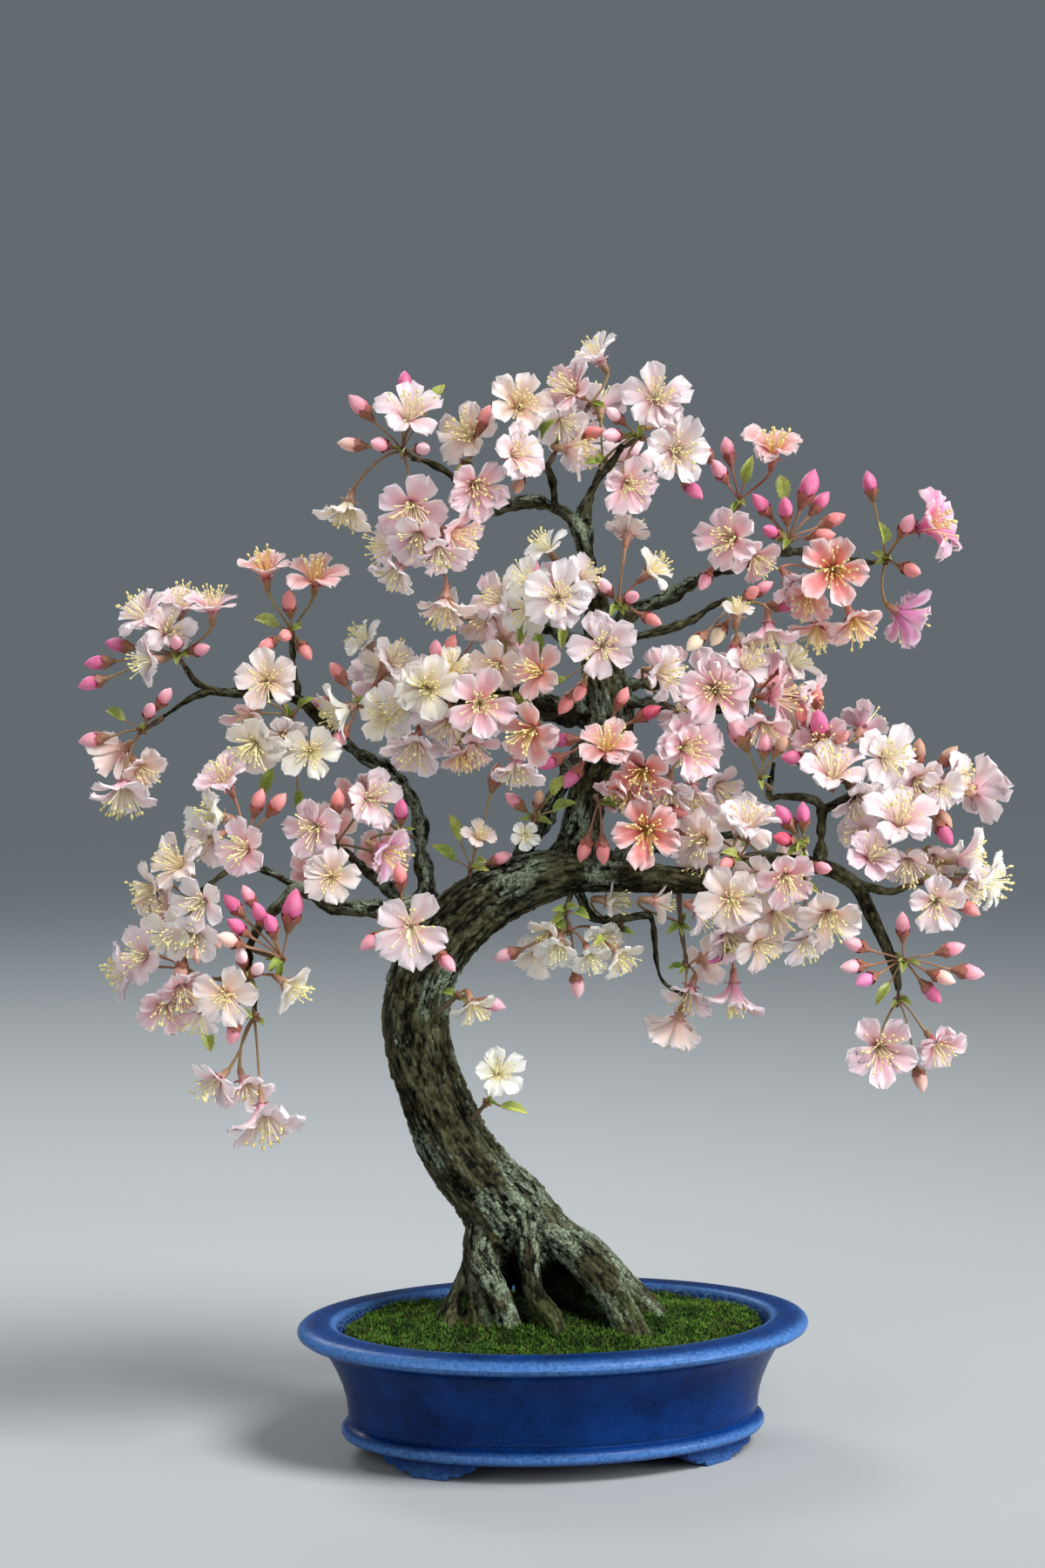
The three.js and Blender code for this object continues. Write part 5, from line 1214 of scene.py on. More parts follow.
@dataclass
class Tree:
    """Roots, trunk and limbs: the old wood is one skin drawn over all of them, the thin wood is tubes."""

    voxel: float = 0.98 * MM
    swell: float = 2.2 * MM
    limb_shift: float = 0.7  # how far apart the bark of two limbs lies in the grain
    core_limbs: int = 3
    old_sides: int = 28
    limb_sides: int = 14
    twig_sides: int = 9
    relief: BarkRelief = BarkRelief()
    # [across, up, radius] of the thickest crusts of lichen
    crusts: tuple[Row, ...] = (
        (-16, 110, 17), (0, 97, 12), (-29, 84, 9), (28, 72, 12), (-16, 258, 15), (-50, 208, 12),
        (-66, 140, 9), (22, 262, 12), (-22, 62, 8), (20, 330, 13), (12, 282, 10),
    )
    # [across, up, forward, half width, half height, depth] of the hollows between the roots, dented in and
    # dark with painted shade
    hollows: tuple[Row, ...] = (
        (-16, 75, 22, 5.5, 18, 9), (9, 74, 18, 14, 13, 7),
        (-27.5, 66, 30, 2.4, 10, 3), (-41, 64, 25, 3.5, 7, 4),
    )

    def old_wood(self) -> Piece:
        """Models the roots, the trunk and the thick limbs as one blended skin.

        Returns:
            The skin, with its relief.
        """
        lines = [Line.through(route, 2 * MM) for route in LIMBS[: self.core_limbs] + ROOTS]
        growth = Growth("trunk_bark")
        for line in lines:
            growth.add(tube(line.points, line.radii + self.swell, self.old_sides), 0, np.ones(3))
        piece = growth.grown([])
        apply_modifier(piece, "REMESH", mode="VOXEL", voxel_size=self.voxel, use_smooth_shade=True)
        apply_modifier(piece, "SMOOTH", factor=0.5, iterations=24)
        move_points(piece, points_of(piece) - normals_of(piece) * self.swell * 0.7)
        self.roughen(piece, lines)
        face_outward(piece)
        smooth(piece, 70)
        return piece

    def roughen(self, piece: Piece, lines: Sequence[Line]) -> None:
        """Raises bark on the old wood and notes where it is low, mossy or bears lichen, partly as painted
        light.

        Args:
            piece: The skin, which changes.
            lines: The middle lines under it.
        """
        points, normals = points_of(piece), normals_of(piece)
        held = [
            (line.points, line.radii, line.along + self.limb_shift * k, line.sides, line.besides)
            for k, line in enumerate(lines)
        ]
        centres, radii, along, sides, besides = map(np.concatenate, zip(*held))
        nearest = np.empty(len(points), np.int64)
        for start in range(0, len(points), 4096):
            chunk = points[start : start + 4096]
            apart = np.linalg.norm(chunk[:, None] - centres[None], axis=2) / radii[None]
            nearest[start : start + 4096] = apart.argmin(1)
        radii, along = radii[nearest], along[nearest]
        out = points - centres[nearest]
        turns = np.arctan2((out * besides[nearest]).sum(1), (out * sides[nearest]).sum(1))
        rope, plate = self.relief.heights(turns, along, radii)
        rise = 0.6 * rope + 0.4 * plate - 0.5
        points = points + normals * (rise * self.relief.depths(radii))[:, None]
        relief = 0.23 + 0.31 * rope + 0.33 * plate
        right, inward = turned(np.array((1.0, 0, 0))), -facing(0, 0)
        for *at, half_width, half_height, depth in self.hollows:
            gap = (points - place([at])[0]) @ np.stack((right, UP, inward), 1)
            share = np.exp(-((gap[:, 0] / (half_width * MM)) ** 2) - (gap[:, 1] / (half_height * MM)) ** 2)
            share *= eased(gap[:, 2], -3 * MM, 2 * MM)
            points = points + np.outer(share * depth * MM, inward)
            # painted shade: the hollows' relief drops towards the crack colour
            relief = relief * (1 - 0.95 * eased(share, 0.25, 0.8))
        move_points(piece, points)
        spots = place([(across, up, 0) for across, up, _ in self.crusts])
        apart = np.linalg.norm((points[:, None] - spots[None]) @ np.stack((right, UP), 1), axis=2)
        crust = np.exp(-((apart / (np.array(self.crusts)[:, 2] * MM)) ** 2)).max(1)
        # the pale lichen is heavier on faces turned up or to either side: partly real lichen, partly painted
        # light
        light = np.abs(normals @ right) + np.maximum(normals[:, 2], 0)
        give(piece, "relief", relief)
        give(piece, "fibre", self.relief.fibres(turns + along * self.relief.spiral, along, radii))
        give(piece, "lichen", np.clip(0.42 * eased(light, -0.1, 1.1) + crust, 0, 1))
        give(piece, "damp", eased(points[:, 2], 0.085, 0.06) * 0.8)

    def thin_wood(self) -> Piece:
        """Models the thin limbs and the bare twigs as tubes with shallow bark.

        Returns:
            All of it as one piece.
        """
        growth = Growth("limb_bark")
        chance = np.random.default_rng(11)
        heights, lichen, spots = [], [], []
        limbs = [(route, self.limb_sides) for route in LIMBS[self.core_limbs :]]
        limbs += [(route, self.twig_sides) for route in TWIGS]
        for k, (route, sides) in enumerate(limbs):
            line = Line.through(route, 1.5 * MM)
            knobs = np.convolve(chance.normal(0, 0.16, len(line.radii)), (0.5, 0.8, 0.5), "same")
            pattern = tube(line.points, line.radii * (1 + knobs), sides)
            ring = np.repeat(np.arange(len(line.points)), sides)
            turns, along, radii = 2 * np.pi * pattern.marks[:, 0], line.along[ring] + k, line.radii[ring]
            relief = self.relief.heights(turns, along, radii).mean(0)
            out = pattern.points - line.points[ring]
            out /= np.linalg.norm(out, axis=1, keepdims=True)
            pattern.points += out * ((relief - 0.5) * self.relief.depths(radii) * 1.8)[:, None]
            heights.append(relief)
            spots.append(np.stack((turns, along, radii)))
            lichen.append(eased(out[:, 2], -1.2, 0.6) * eased(radii, 1 * MM, 3 * MM))
            growth.add(pattern, 0, np.ones(3))
        piece = growth.grown([], 70)
        give(piece, "relief", np.concatenate(heights) * 0.5 + 0.28)
        give(piece, "lichen", np.concatenate(lichen))
        give(piece, "fibre", self.relief.fibres(*np.concatenate(spots, 1)))
        return piece

    def dress(self) -> None:
        """Models the tree and gives it its bark."""
        bark = BarkFinish().material
        trunk, limbs = self.old_wood(), self.thin_wood()
        cover(trunk, bark)
        cover(limbs, bark)
        settle(trunk, "bark", "trunk")
        settle(limbs, "bark")


# ---- flowers, buds and leaves


class Part(IntEnum):
    """The finishes of a flowering spray, as its material slots number them."""

    PETAL = 0
    FLESH = 1
    STAMEN = 2
    LEAF = 3
    TWIG = 4


def upright_marks(points: Array, low: float, high: float) -> Array:
    """Marks round the axis of a body's points and along it, from 0 at one height to 1 at another."""
    around = np.arctan2(points[:, 1], points[:, 0]) / (2 * np.pi) + 0.5
    return np.stack((around, (points[:, 2] - low) / (high - low)), 1)


def upright_frame(axis: Array, spin: float = 0) -> Array:
    """Three axes as columns whose Z is an axis, spun round it by an angle.

    Args:
        axis: The axis.
        spin: The angle in radians.

    Returns:
        The matrix.
    """
    side = unit(np.cross(np.array((0.31, 0.2, 0.93)), axis))
    beside = np.cross(axis, side)
    cos, sin = math.cos(spin), math.sin(spin)
    return np.stack((side * cos + beside * sin, beside * cos - side * sin, axis), 1)


def blade_grid(name: str, columns: int, rows: int) -> tuple[Piece, Array, Array]:
    """Adds a grid for a blade, with how far across, from -1 to 1, and along each point is.

    Args:
        name: The blade's name.
        columns: Its faces across.
        rows: Its faces along.

    Returns:
        The grid, with two numbers for each of its vertices.
    """
    grid = bpy.ops.mesh.primitive_grid_add
    piece = add_primitive(grid, name, x_subdivisions=columns, y_subdivisions=rows, size=2)
    flat = points_of(piece)
    return piece, flat[:, 0], (flat[:, 1] + 1) / 2


@dataclass(frozen=True)
class PetalShape:
    """One way a petal grows: how broad it is, how deeply notched, how wavy, and how it curls."""

    broad: float = 1.0
    notch: float = 0.09
    wave: float = 0.08
    curl: float = 0.0
    twist: float = 0.17
    columns: int = 8
    rows: int = 6
    thickness: float = 0.04
    stations: ClassVar[tuple[float, ...]] = (0, 0.12, 0.3, 0.5, 0.68, 0.84, 0.95, 1)
    half_widths: ClassVar[tuple[float, ...]] = (0.08, 0.11, 0.19, 0.29, 0.37, 0.38, 0.29, 0.15)

    def pattern(self) -> Pattern:
        """Models a petal that reaches one out along Y and one up along Z, thin at its edge.

        Returns:
            The petal.
        """
        piece, side, along = blade_grid("petal", self.columns, self.rows)
        half = np.interp(along, self.stations, self.half_widths) * self.broad
        notch = self.notch * np.exp(-((side / 0.25) ** 2)) * along**6
        teeth = 0.016 * np.cos(10 * side + 1) * along**8
        reach = 0.06 + 0.94 * along**1.2 * (1 - 0.06 * side**2 * along) - notch + teeth
        lift = 1 - (1 - along) ** 1.9 + 0.2 * side**2 * np.sin(np.pi * along) + self.curl * along**3
        lift += self.wave * np.sin(7 * side + 4 * along) * along**2 + self.twist * side * half
        lift -= 0.07 * np.exp(-((side / 0.2) ** 2)) * along
        move_points(piece, np.stack((side * half, reach, lift), 1))
        blade = piece.vertex_groups.new(name="blade")
        inner = np.flatnonzero((np.abs(side) < 0.99) & (along > 0.01) & (along < 0.99))
        blade.add(inner.tolist(), 1.0, "REPLACE")
        apply_modifier(piece, "SOLIDIFY", thickness=self.thickness, offset=0, vertex_group="blade")
        apply_modifier(piece, "WELD", merge_threshold=1e-4)
        return Pattern.taken_from(piece)


class Flowers:
    """The patterns that every spray is grown from, each modelled once at a length of one."""

    shapes: ClassVar[tuple[PetalShape, ...]] = (
        PetalShape(),
        PetalShape(0.98, 0.12, 0.13, 0.08),
        PetalShape(1.1, 0.06, -0.12, -0.15),
        PetalShape(1.02, 0.1, 0.15, -0.3, 0.3),
        PetalShape(0.92, 0.04, -0.09, 0.18),
        PetalShape(1.08, 0.15, 0.1, -0.1, 0.06),
    )
    # each ring's radius and height
    calyx_rings: ClassVar[tuple[Row, ...]] = (
        (0.15, -1.03), (0.2, -0.95), (0.25, -0.72), (0.27, -0.45), (0.31, -0.2), (0.37, 0.0), (0.2, 0.06),
    )
    cup_rings: ClassVar[tuple[Row, ...]] = (
        (0.07, -0.22), (0.1, -0.18), (0.14, -0.08), (0.19, 0.04), (0.228, 0.13), (0.17, 0.17),
    )

    def __init__(self) -> None:
        """Models each pattern: an open bloom's parts, a shut bud and its cup, a leaf and a bud scale."""
        self.petals = [shape.pattern() for shape in self.shapes]
        self.stamen = self.stamen_pattern()
        self.calyx = self.cup("calyx", self.calyx_rings, (-1, 0.4), self.sepals(0.45, 0.06, 0.3), -0.06)
        self.bud = self.rounded("bud", 15, 9, self.bud_girth)
        self.bud_cup = self.cup("bud_cup", self.cup_rings, (-0.22, 0.45), self.sepals(0.1, 0.28, 0.185), 0.06)
        self.leaf = self.leaf_pattern()
        self.scale = self.rounded("scale", 6, 4, lambda turn, height: 0.72 * (1 - height**2 * 0.75))

    @staticmethod
    def stamen_pattern() -> Pattern:
        """A stamen along Z: a bent stalk, marked up to 1, and its anther, marked 2.

        Returns:
            The stamen.
        """
        bend = np.array(((0, 0, 0), (0.03, 0, 0.5), (0.13, 0, 0.97)))
        stalk = tube(bend, np.array((0.024, 0.02, 0.015)), 3)
        sphere = bpy.ops.mesh.primitive_uv_sphere_add
        piece = add_primitive(sphere, "anther", segments=5, ring_count=3, radius=0.055)
        anther = Pattern.taken_from(piece, np.full((len(piece.data.vertices), 2), 2.0))
        anther = anther.moved(np.eye(3), np.array((0.85, 0.85, 1.25)), np.array((0.14, 0, 1.0)))
        return Pattern.joined(stalk, anther)

    @staticmethod
    def sepals(reach: float, rise: float, foot: float) -> Pattern:
        """Five pointed sepals round Z, each a thin keeled blade.

        Args:
            reach: How far they reach out.
            rise: How high they rise.
            foot: Where they start.

        Returns:
            All five.
        """
        top = (0, 1, 5, 1, 2, 5, 2, 3, 5, 3, 4, 5, 4, 0, 5)
        under = (1, 0, 6, 2, 1, 6, 3, 2, 6, 4, 3, 6, 0, 4, 6)
        blades = []
        for k in range(5):
            angle = 2 * np.pi * k / 5
            out = np.array((math.cos(angle), math.sin(angle), 0))
            beside = np.array((-math.sin(angle), math.cos(angle), 0))
            middle = out * (foot + reach * 0.5) + UP * rise * 0.45
            corners = (
                out * foot - beside * 0.13,
                out * foot + beside * 0.13,
                middle + beside * 0.17,
                out * (foot + reach) + UP * rise,
                middle - beside * 0.17,
                middle + out * 0.04 + UP * 0.05,
                middle - out * 0.04 - UP * 0.05,
            )
            marks = np.stack((np.full(7, k / 5), np.array((0.6, 0.6, 0.8, 1, 0.8, 0.8, 0.8))), 1)
            blades.append(Pattern(np.array(corners), np.array(top + under), np.full(10, 3), marks))
        return Pattern.joined(*blades)

    @staticmethod
    def cup(name: str, rings: Sequence[Row], span: Row, sepals: Pattern, lift: float) -> Pattern:
        """A calyx whose mouth is at the origin, or a bud's cup, with its sepals.

        Args:
            name: The cup's name.
            rings: Each ring's radius and height.
            span: The heights at which its marks are 0 and 1.
            sepals: The sepals.
            lift: How far they are lifted.

        Returns:
            The cup.
        """
        body = ringed(name, [(radius, radius, height) for radius, height in rings], 8)
        shell = Pattern.taken_from(body, upright_marks(points_of(body), *span))
        return Pattern.joined(shell, sepals.moved(np.eye(3), 1, UP * lift))

    @staticmethod
    def rounded(name: str, segments: int, rings: int, girth: Callable[[Array, Array], Array]) -> Pattern:
        """A closed round body that stands on the origin.

        Args:
            name: The body's name.
            segments: How many sides it has.
            rings: How many rings it has.
            girth: Its girth for angles round it and heights up it.

        Returns:
            The body.
        """
        sphere = bpy.ops.mesh.primitive_uv_sphere_add
        piece = add_primitive(sphere, name, segments=segments, ring_count=rings, radius=0.5)
        points = points_of(piece)
        height = points[:, 2] + 0.5
        points[:, :2] *= girth(np.arctan2(points[:, 1], points[:, 0]), height)[:, None]
        points[:, 2] = height
        move_points(piece, points)
        return Pattern.taken_from(piece, upright_marks(points_of(piece), 0, 1))

    @staticmethod
    def bud_girth(turn: Array, height: Array) -> Array:
        """The girth of a shut bud whose petals are wound round each other."""
        stations, widths = (0, 0.1, 0.3, 0.5, 0.75, 0.93, 1), (0.34, 0.42, 0.52, 0.54, 0.46, 0.3, 0.15)
        overlap = ((turn / (2 * np.pi) * 3 + 0.8 * height) % 1) * 0.1 * np.sin(np.pi * np.clip(height, 0, 1))
        return (np.interp(height, stations, widths) + overlap) * 0.94

    @staticmethod
    def leaf_pattern() -> Pattern:
        """A young leaf along Y: folded along its midrib, arched and toothed.

        Returns:
            The leaf.
        """
        piece, side, along = blade_grid("leaf", 4, 12)
        half = 0.21 * np.sin(np.pi * along**0.85) ** 0.8 + 0.012
        half *= 1 + 0.09 * np.cos(12 * np.pi * along) * (np.abs(side) > 0.9)
        lift = 0.16 * np.abs(side) * np.sin(np.pi * along) + 0.1 * np.sin(np.pi * along) - 0.1 * along**3
        move_points(piece, np.stack((side * half, along, lift), 1))
        apply_modifier(piece, "SOLIDIFY", thickness=0.025, offset=0)
        return Pattern.taken_from(piece)


@dataclass
class FloweringSpray:
    """A flowering twig with its blooms, buds and young leaves, grown as one piece."""

    spray: Spray
    seed: int
    flowers: Flowers
    bloom_growth: float = 1.05
    funnel: float = 0.72
    double_share: float = 0.35
    pale_edge: float = 0.55
    calyx_length: float = 6.5 * MM
    stalk_radius: float = 0.68 * MM
    leaf_stalk: float = 0.4 * MM
    bud_growth: float = 1.3
    twig_root: float = 1.25
    twig_tip: float = 0.95

    def __post_init__(self) -> None:
        """Sets up the piece, its hubs and its two sources of draws."""
        self.growth = Growth(f"spray_{self.spray.name}_flowers")
        self.hubs = np.concatenate([place(route)[1:] for route in self.spray.twigs])
        self.draw = draws_from(self.seed)
        self.chance = np.random.default_rng(self.seed)
        self.stalk_tint = blended(linear("#b0705c"), linear("#8f9150"), self.chance.random() * 0.8)

    def tone(self, names: Sequence[str]) -> Tone:
        """The tone that a layout row names last, or the spray's own where it names none."""
        return Tone[names[0].upper()] if names else self.spray.tone

    def hub_near(self, point: Array) -> Array:
        """The hub that is nearest to a point."""
        return self.hubs[np.linalg.norm(self.hubs - point, axis=1).argmin()]

    def stalk(self, hub: Array, end: Array, arrival: Array, radius: float) -> None:
        """Grows a stalk from a hub to a point where it arrives in a direction.

        Args:
            hub: Where it springs.
            end: Where it ends.
            arrival: The direction.
            radius: Its radius half way.
        """
        way = unit(end - hub)
        line = arc(hub, unit(way + 0.35 * UP - 0.3 * arrival), end, unit(way + arrival), 7)
        pattern = tube(line, np.array((1.35, 1.0, 0.85, 0.85, 0.9, 1.05, 1.35)) * radius, 6)
        low = blended(self.stalk_tint, linear("#5a4030"), 0.4)
        self.growth.add(pattern, Part.FLESH, blended(low, self.stalk_tint, pattern.marks[:, 1]))

    def petal_tints(self, marks: Array, tone: Tone) -> Array:
        """A petal's colour at each vertex: deep in its throat and along its middle, pale at its edge.

        Args:
            marks: The petal's marks.
            tone: Its bloom's tone.

        Returns:
            A colour for each vertex.
        """
        side, along = np.abs(marks[:, 0] * 2 - 1), marks[:, 1]
        deeper = 0.12 + self.chance.uniform(-0.12, 0.12) + self.chance.normal(0, 0.05, len(along))
        colour = blended(tone.petal, tone.throat, np.clip(deeper, 0, 1))
        colour = blended(tone.throat, colour, eased(along, 0.0, 0.5))
        colour = blended(colour, tone.throat, eased(side, 0.5, 0) * eased(along, 0.85, 0.3) * 0.3)
        edge = np.maximum(eased(along, 0.72, 1.0), eased(side, 0.5, 1.0) * eased(along, 0.25, 0.6))
        colour = blended(colour, np.ones(3), edge * self.pale_edge)
        return blended(colour, tone.throat**1.4, eased(along, 0.14, 0.0) * 0.3)

    def bloom(self, row: tuple) -> None:
        """Grows the bloom of a layout row: a funnel of petals, stamens, calyx and stalk.

        Args:
            row: The layout row.
        """
        _, _, forward, width, turn, tilt, *names = row
        colours = self.tone(names)
        scale = reach_scale(forward)
        radius = width / 2 * scale * self.bloom_growth * MM
        axis = facing(turn, tilt)
        cup = 0.5 + 0.52 * self.draw()
        start = 2 * np.pi * self.draw()
        depth = radius * self.funnel * cup
        root = place([row])[0] - axis * depth * 0.35
        petals = [(start + (2 * k + 1) * np.pi / 5, 0.88 + 0.2 * self.draw()) for k in range(5)]
        if self.chance.random() < self.double_share:
            petals += [(start + self.chance.uniform(0, 6), 0.86), (start + self.chance.uniform(0, 6), 0.7)]
        side, beside = upright_frame(axis)[:, :2].T
        for angle, own in petals:
            angle += self.chance.normal(0, 0.1)
            out = side * math.cos(angle) + beside * math.sin(angle)
            pattern = self.flowers.petals[self.chance.integers(len(self.flowers.petals))]
            size = np.array((radius * own**0.5, radius * own, depth * self.chance.uniform(0.8, 1.2)))
            copy = pattern.moved(np.stack((np.cross(out, axis), out, axis), 1), size, root)
            self.growth.add(copy, Part.PETAL, self.petal_tints(copy.marks, colours))
        self.stamens(root, axis, radius, colours)
        length = self.calyx_length * scale
        calyx = self.flowers.calyx.moved(upright_frame(axis, start), length, root + axis * 0.8 * MM)
        low = blended(self.stalk_tint, linear("#8a4436"), 0.35)
        high = blended(colours.petal, linear("#a8603f"), 0.6)
        self.growth.add(calyx, Part.FLESH, blended(low, high, eased(calyx.marks[:, 1], 0.1, 1)))
        base = root - axis * (length - 0.8 * MM)
        self.stalk(self.hub_near(base), base, axis, self.stalk_radius)

    def stamens(self, root: Array, axis: Array, radius: float, tone: Tone) -> None:
        """Grows a bloom's stamens, which spread round its axis.

        Args:
            root: Where they spring.
            axis: The way the bloom faces.
            radius: The bloom's radius.
            tone: Its tone.
        """
        side, beside = upright_frame(axis)[:, :2].T
        for k in range(int(self.chance.integers(24, 32))):
            angle, lean = k * 2.4 + self.chance.normal(0, 0.2), math.radians(self.chance.uniform(3, 33))
            out = side * math.cos(angle) + beside * math.sin(angle)
            way = unit(axis * math.cos(lean) + out * math.sin(lean))
            length = radius * self.chance.uniform(0.62, 1.0)
            frame_of_stamen = upright_frame(way, self.chance.random() * 6)
            foot = root + out * radius * 0.06 + axis * radius * 0.05
            copy = self.flowers.stamen.moved(frame_of_stamen, length, foot)
            tints = blended(tone.stamen, linear("#f4e8a4"), eased(copy.marks[:, 1], 1.0, 1.5))
            self.growth.add(copy, Part.STAMEN, tints)

    def stand(self, row: tuple, growth: float = 1) -> tuple[Array, Array, Array, float]:
        """Finds where the bud or leaf of a layout row stands.

        Args:
            row: The layout row.
            growth: How much larger it grows.

        Returns:
            Its hub, foot, direction and length.
        """
        middle = place([row])[0]
        size = row[3] * reach_scale(row[2]) * growth * MM
        hub = self.hub_near(middle)
        axis = unit(middle - hub)
        return hub, middle - axis * size / 2, axis, size

    def bud(self, row: tuple) -> None:
        """Grows the bud of a layout row, with its calyx, on a stalk from the nearest hub.

        Args:
            row: The layout row.
        """
        colours = self.tone(row[4:])
        hub, foot, axis, size = self.stand(row, self.bud_growth)
        axes = upright_frame(axis, self.chance.random() * 6)
        bud = self.flowers.bud.moved(axes, size, foot)
        side, along = np.sin(bud.marks[:, 0] * 6 * np.pi), bud.marks[:, 1]
        deep, pale = (blended(colours.petal, colours.throat, share) for share in (0.75, 0.3))
        self.growth.add(bud, Part.PETAL, blended(deep, pale, eased(along + side * 0.15, 0.2, 0.8)))
        cup = self.flowers.bud_cup.moved(axes, size, foot)
        low = blended(self.stalk_tint, linear("#7a3f35"), 0.5)
        ruddy = eased(cup.marks[:, 1], 0.2, 1) * 0.6
        self.growth.add(cup, Part.FLESH, blended(low, linear("#b05a50"), ruddy))
        self.stalk(hub, foot - axis * size * 0.19, axis, self.stalk_radius * 0.85)

    def leaf(self, row: Row) -> None:
        """Grows the young leaf of a layout row on its stalk from the nearest hub."""
        hub, foot, axis, size = self.stand(row)
        self.blade(foot, axis, size)
        self.stalk(hub, foot, axis, self.leaf_stalk)

    def blade(self, foot: Array, axis: Array, size: float) -> None:
        """Grows a leaf blade of a size from its foot along an axis.

        Args:
            foot: Where it starts.
            axis: The way it points.
            size: Its length.
        """
        side = unit(np.cross(axis, facing(0, 35)))
        axes = np.stack((side, axis, np.cross(side, axis)), 1)
        copy = self.flowers.leaf.moved(axes, size * np.array((self.chance.uniform(0.7, 1.1), 1, 1)), foot)
        tint = blended(linear("#b4bd62"), linear("#87a042"), self.chance.random())
        tip = eased(copy.marks[:, 1], 0.6, 1) * 0.5
        self.growth.add(copy, Part.LEAF, blended(tint, linear("#c3b66a"), tip))

    def twig(self, route: Route) -> None:
        """Grows a twig along its rows, thick at its root.

        Args:
            route: The rows.
        """
        radii = np.linspace(self.twig_root, self.twig_tip, len(route))
        line = Line.through(tuple((*point, radius) for point, radius in zip(route, radii)), 1.5 * MM)
        knobs = 1 + 0.16 * self.chance.normal(size=len(line.radii))
        self.growth.add(tube(line.points, line.radii * knobs, 8), Part.TWIG, linear("#6a5644"))

    def hub(self, spot: Array) -> None:
        """Grows the scales and small bracts from which the stalks spring.

        Args:
            spot: The hub.
        """
        for _ in range(7):
            way = unit(self.chance.normal(size=3) + 0.3 * UP)
            copy = self.flowers.scale.moved(upright_frame(way), self.chance.uniform(2.6, 3.8) * MM, spot)
            tint = blended(linear("#5b3f2c"), linear("#9a6a48"), self.chance.random())
            self.growth.add(copy, Part.FLESH, tint)
        for _ in range(int(self.chance.integers(2, 5))):
            way = unit(self.chance.normal(size=3) * np.array((1, 1, 0.6)) + facing(0, 0) * 0.4)
            self.blade(spot, way, self.chance.uniform(5, 10) * MM)

    def grow(self, materials: Sequence[Material]) -> None:
        """Grows the whole spray and puts it in its node's place.

        Args:
            materials: The materials that Part numbers.
        """
        spray = self.spray
        jobs = (self.twig, spray.twigs), (self.bloom, spray.blooms), (self.bud, spray.buds)
        for grow_one, rows in (*jobs, (self.leaf, spray.leaves), (self.hub, self.hubs)):
            for row in rows:
                grow_one(row)
        piece = self.growth.grown(materials)
        settle(piece, f"{self.spray.tone.name.lower()}_blossom", f"spray_{self.spray.name}")


# ---- pot, soil and moss


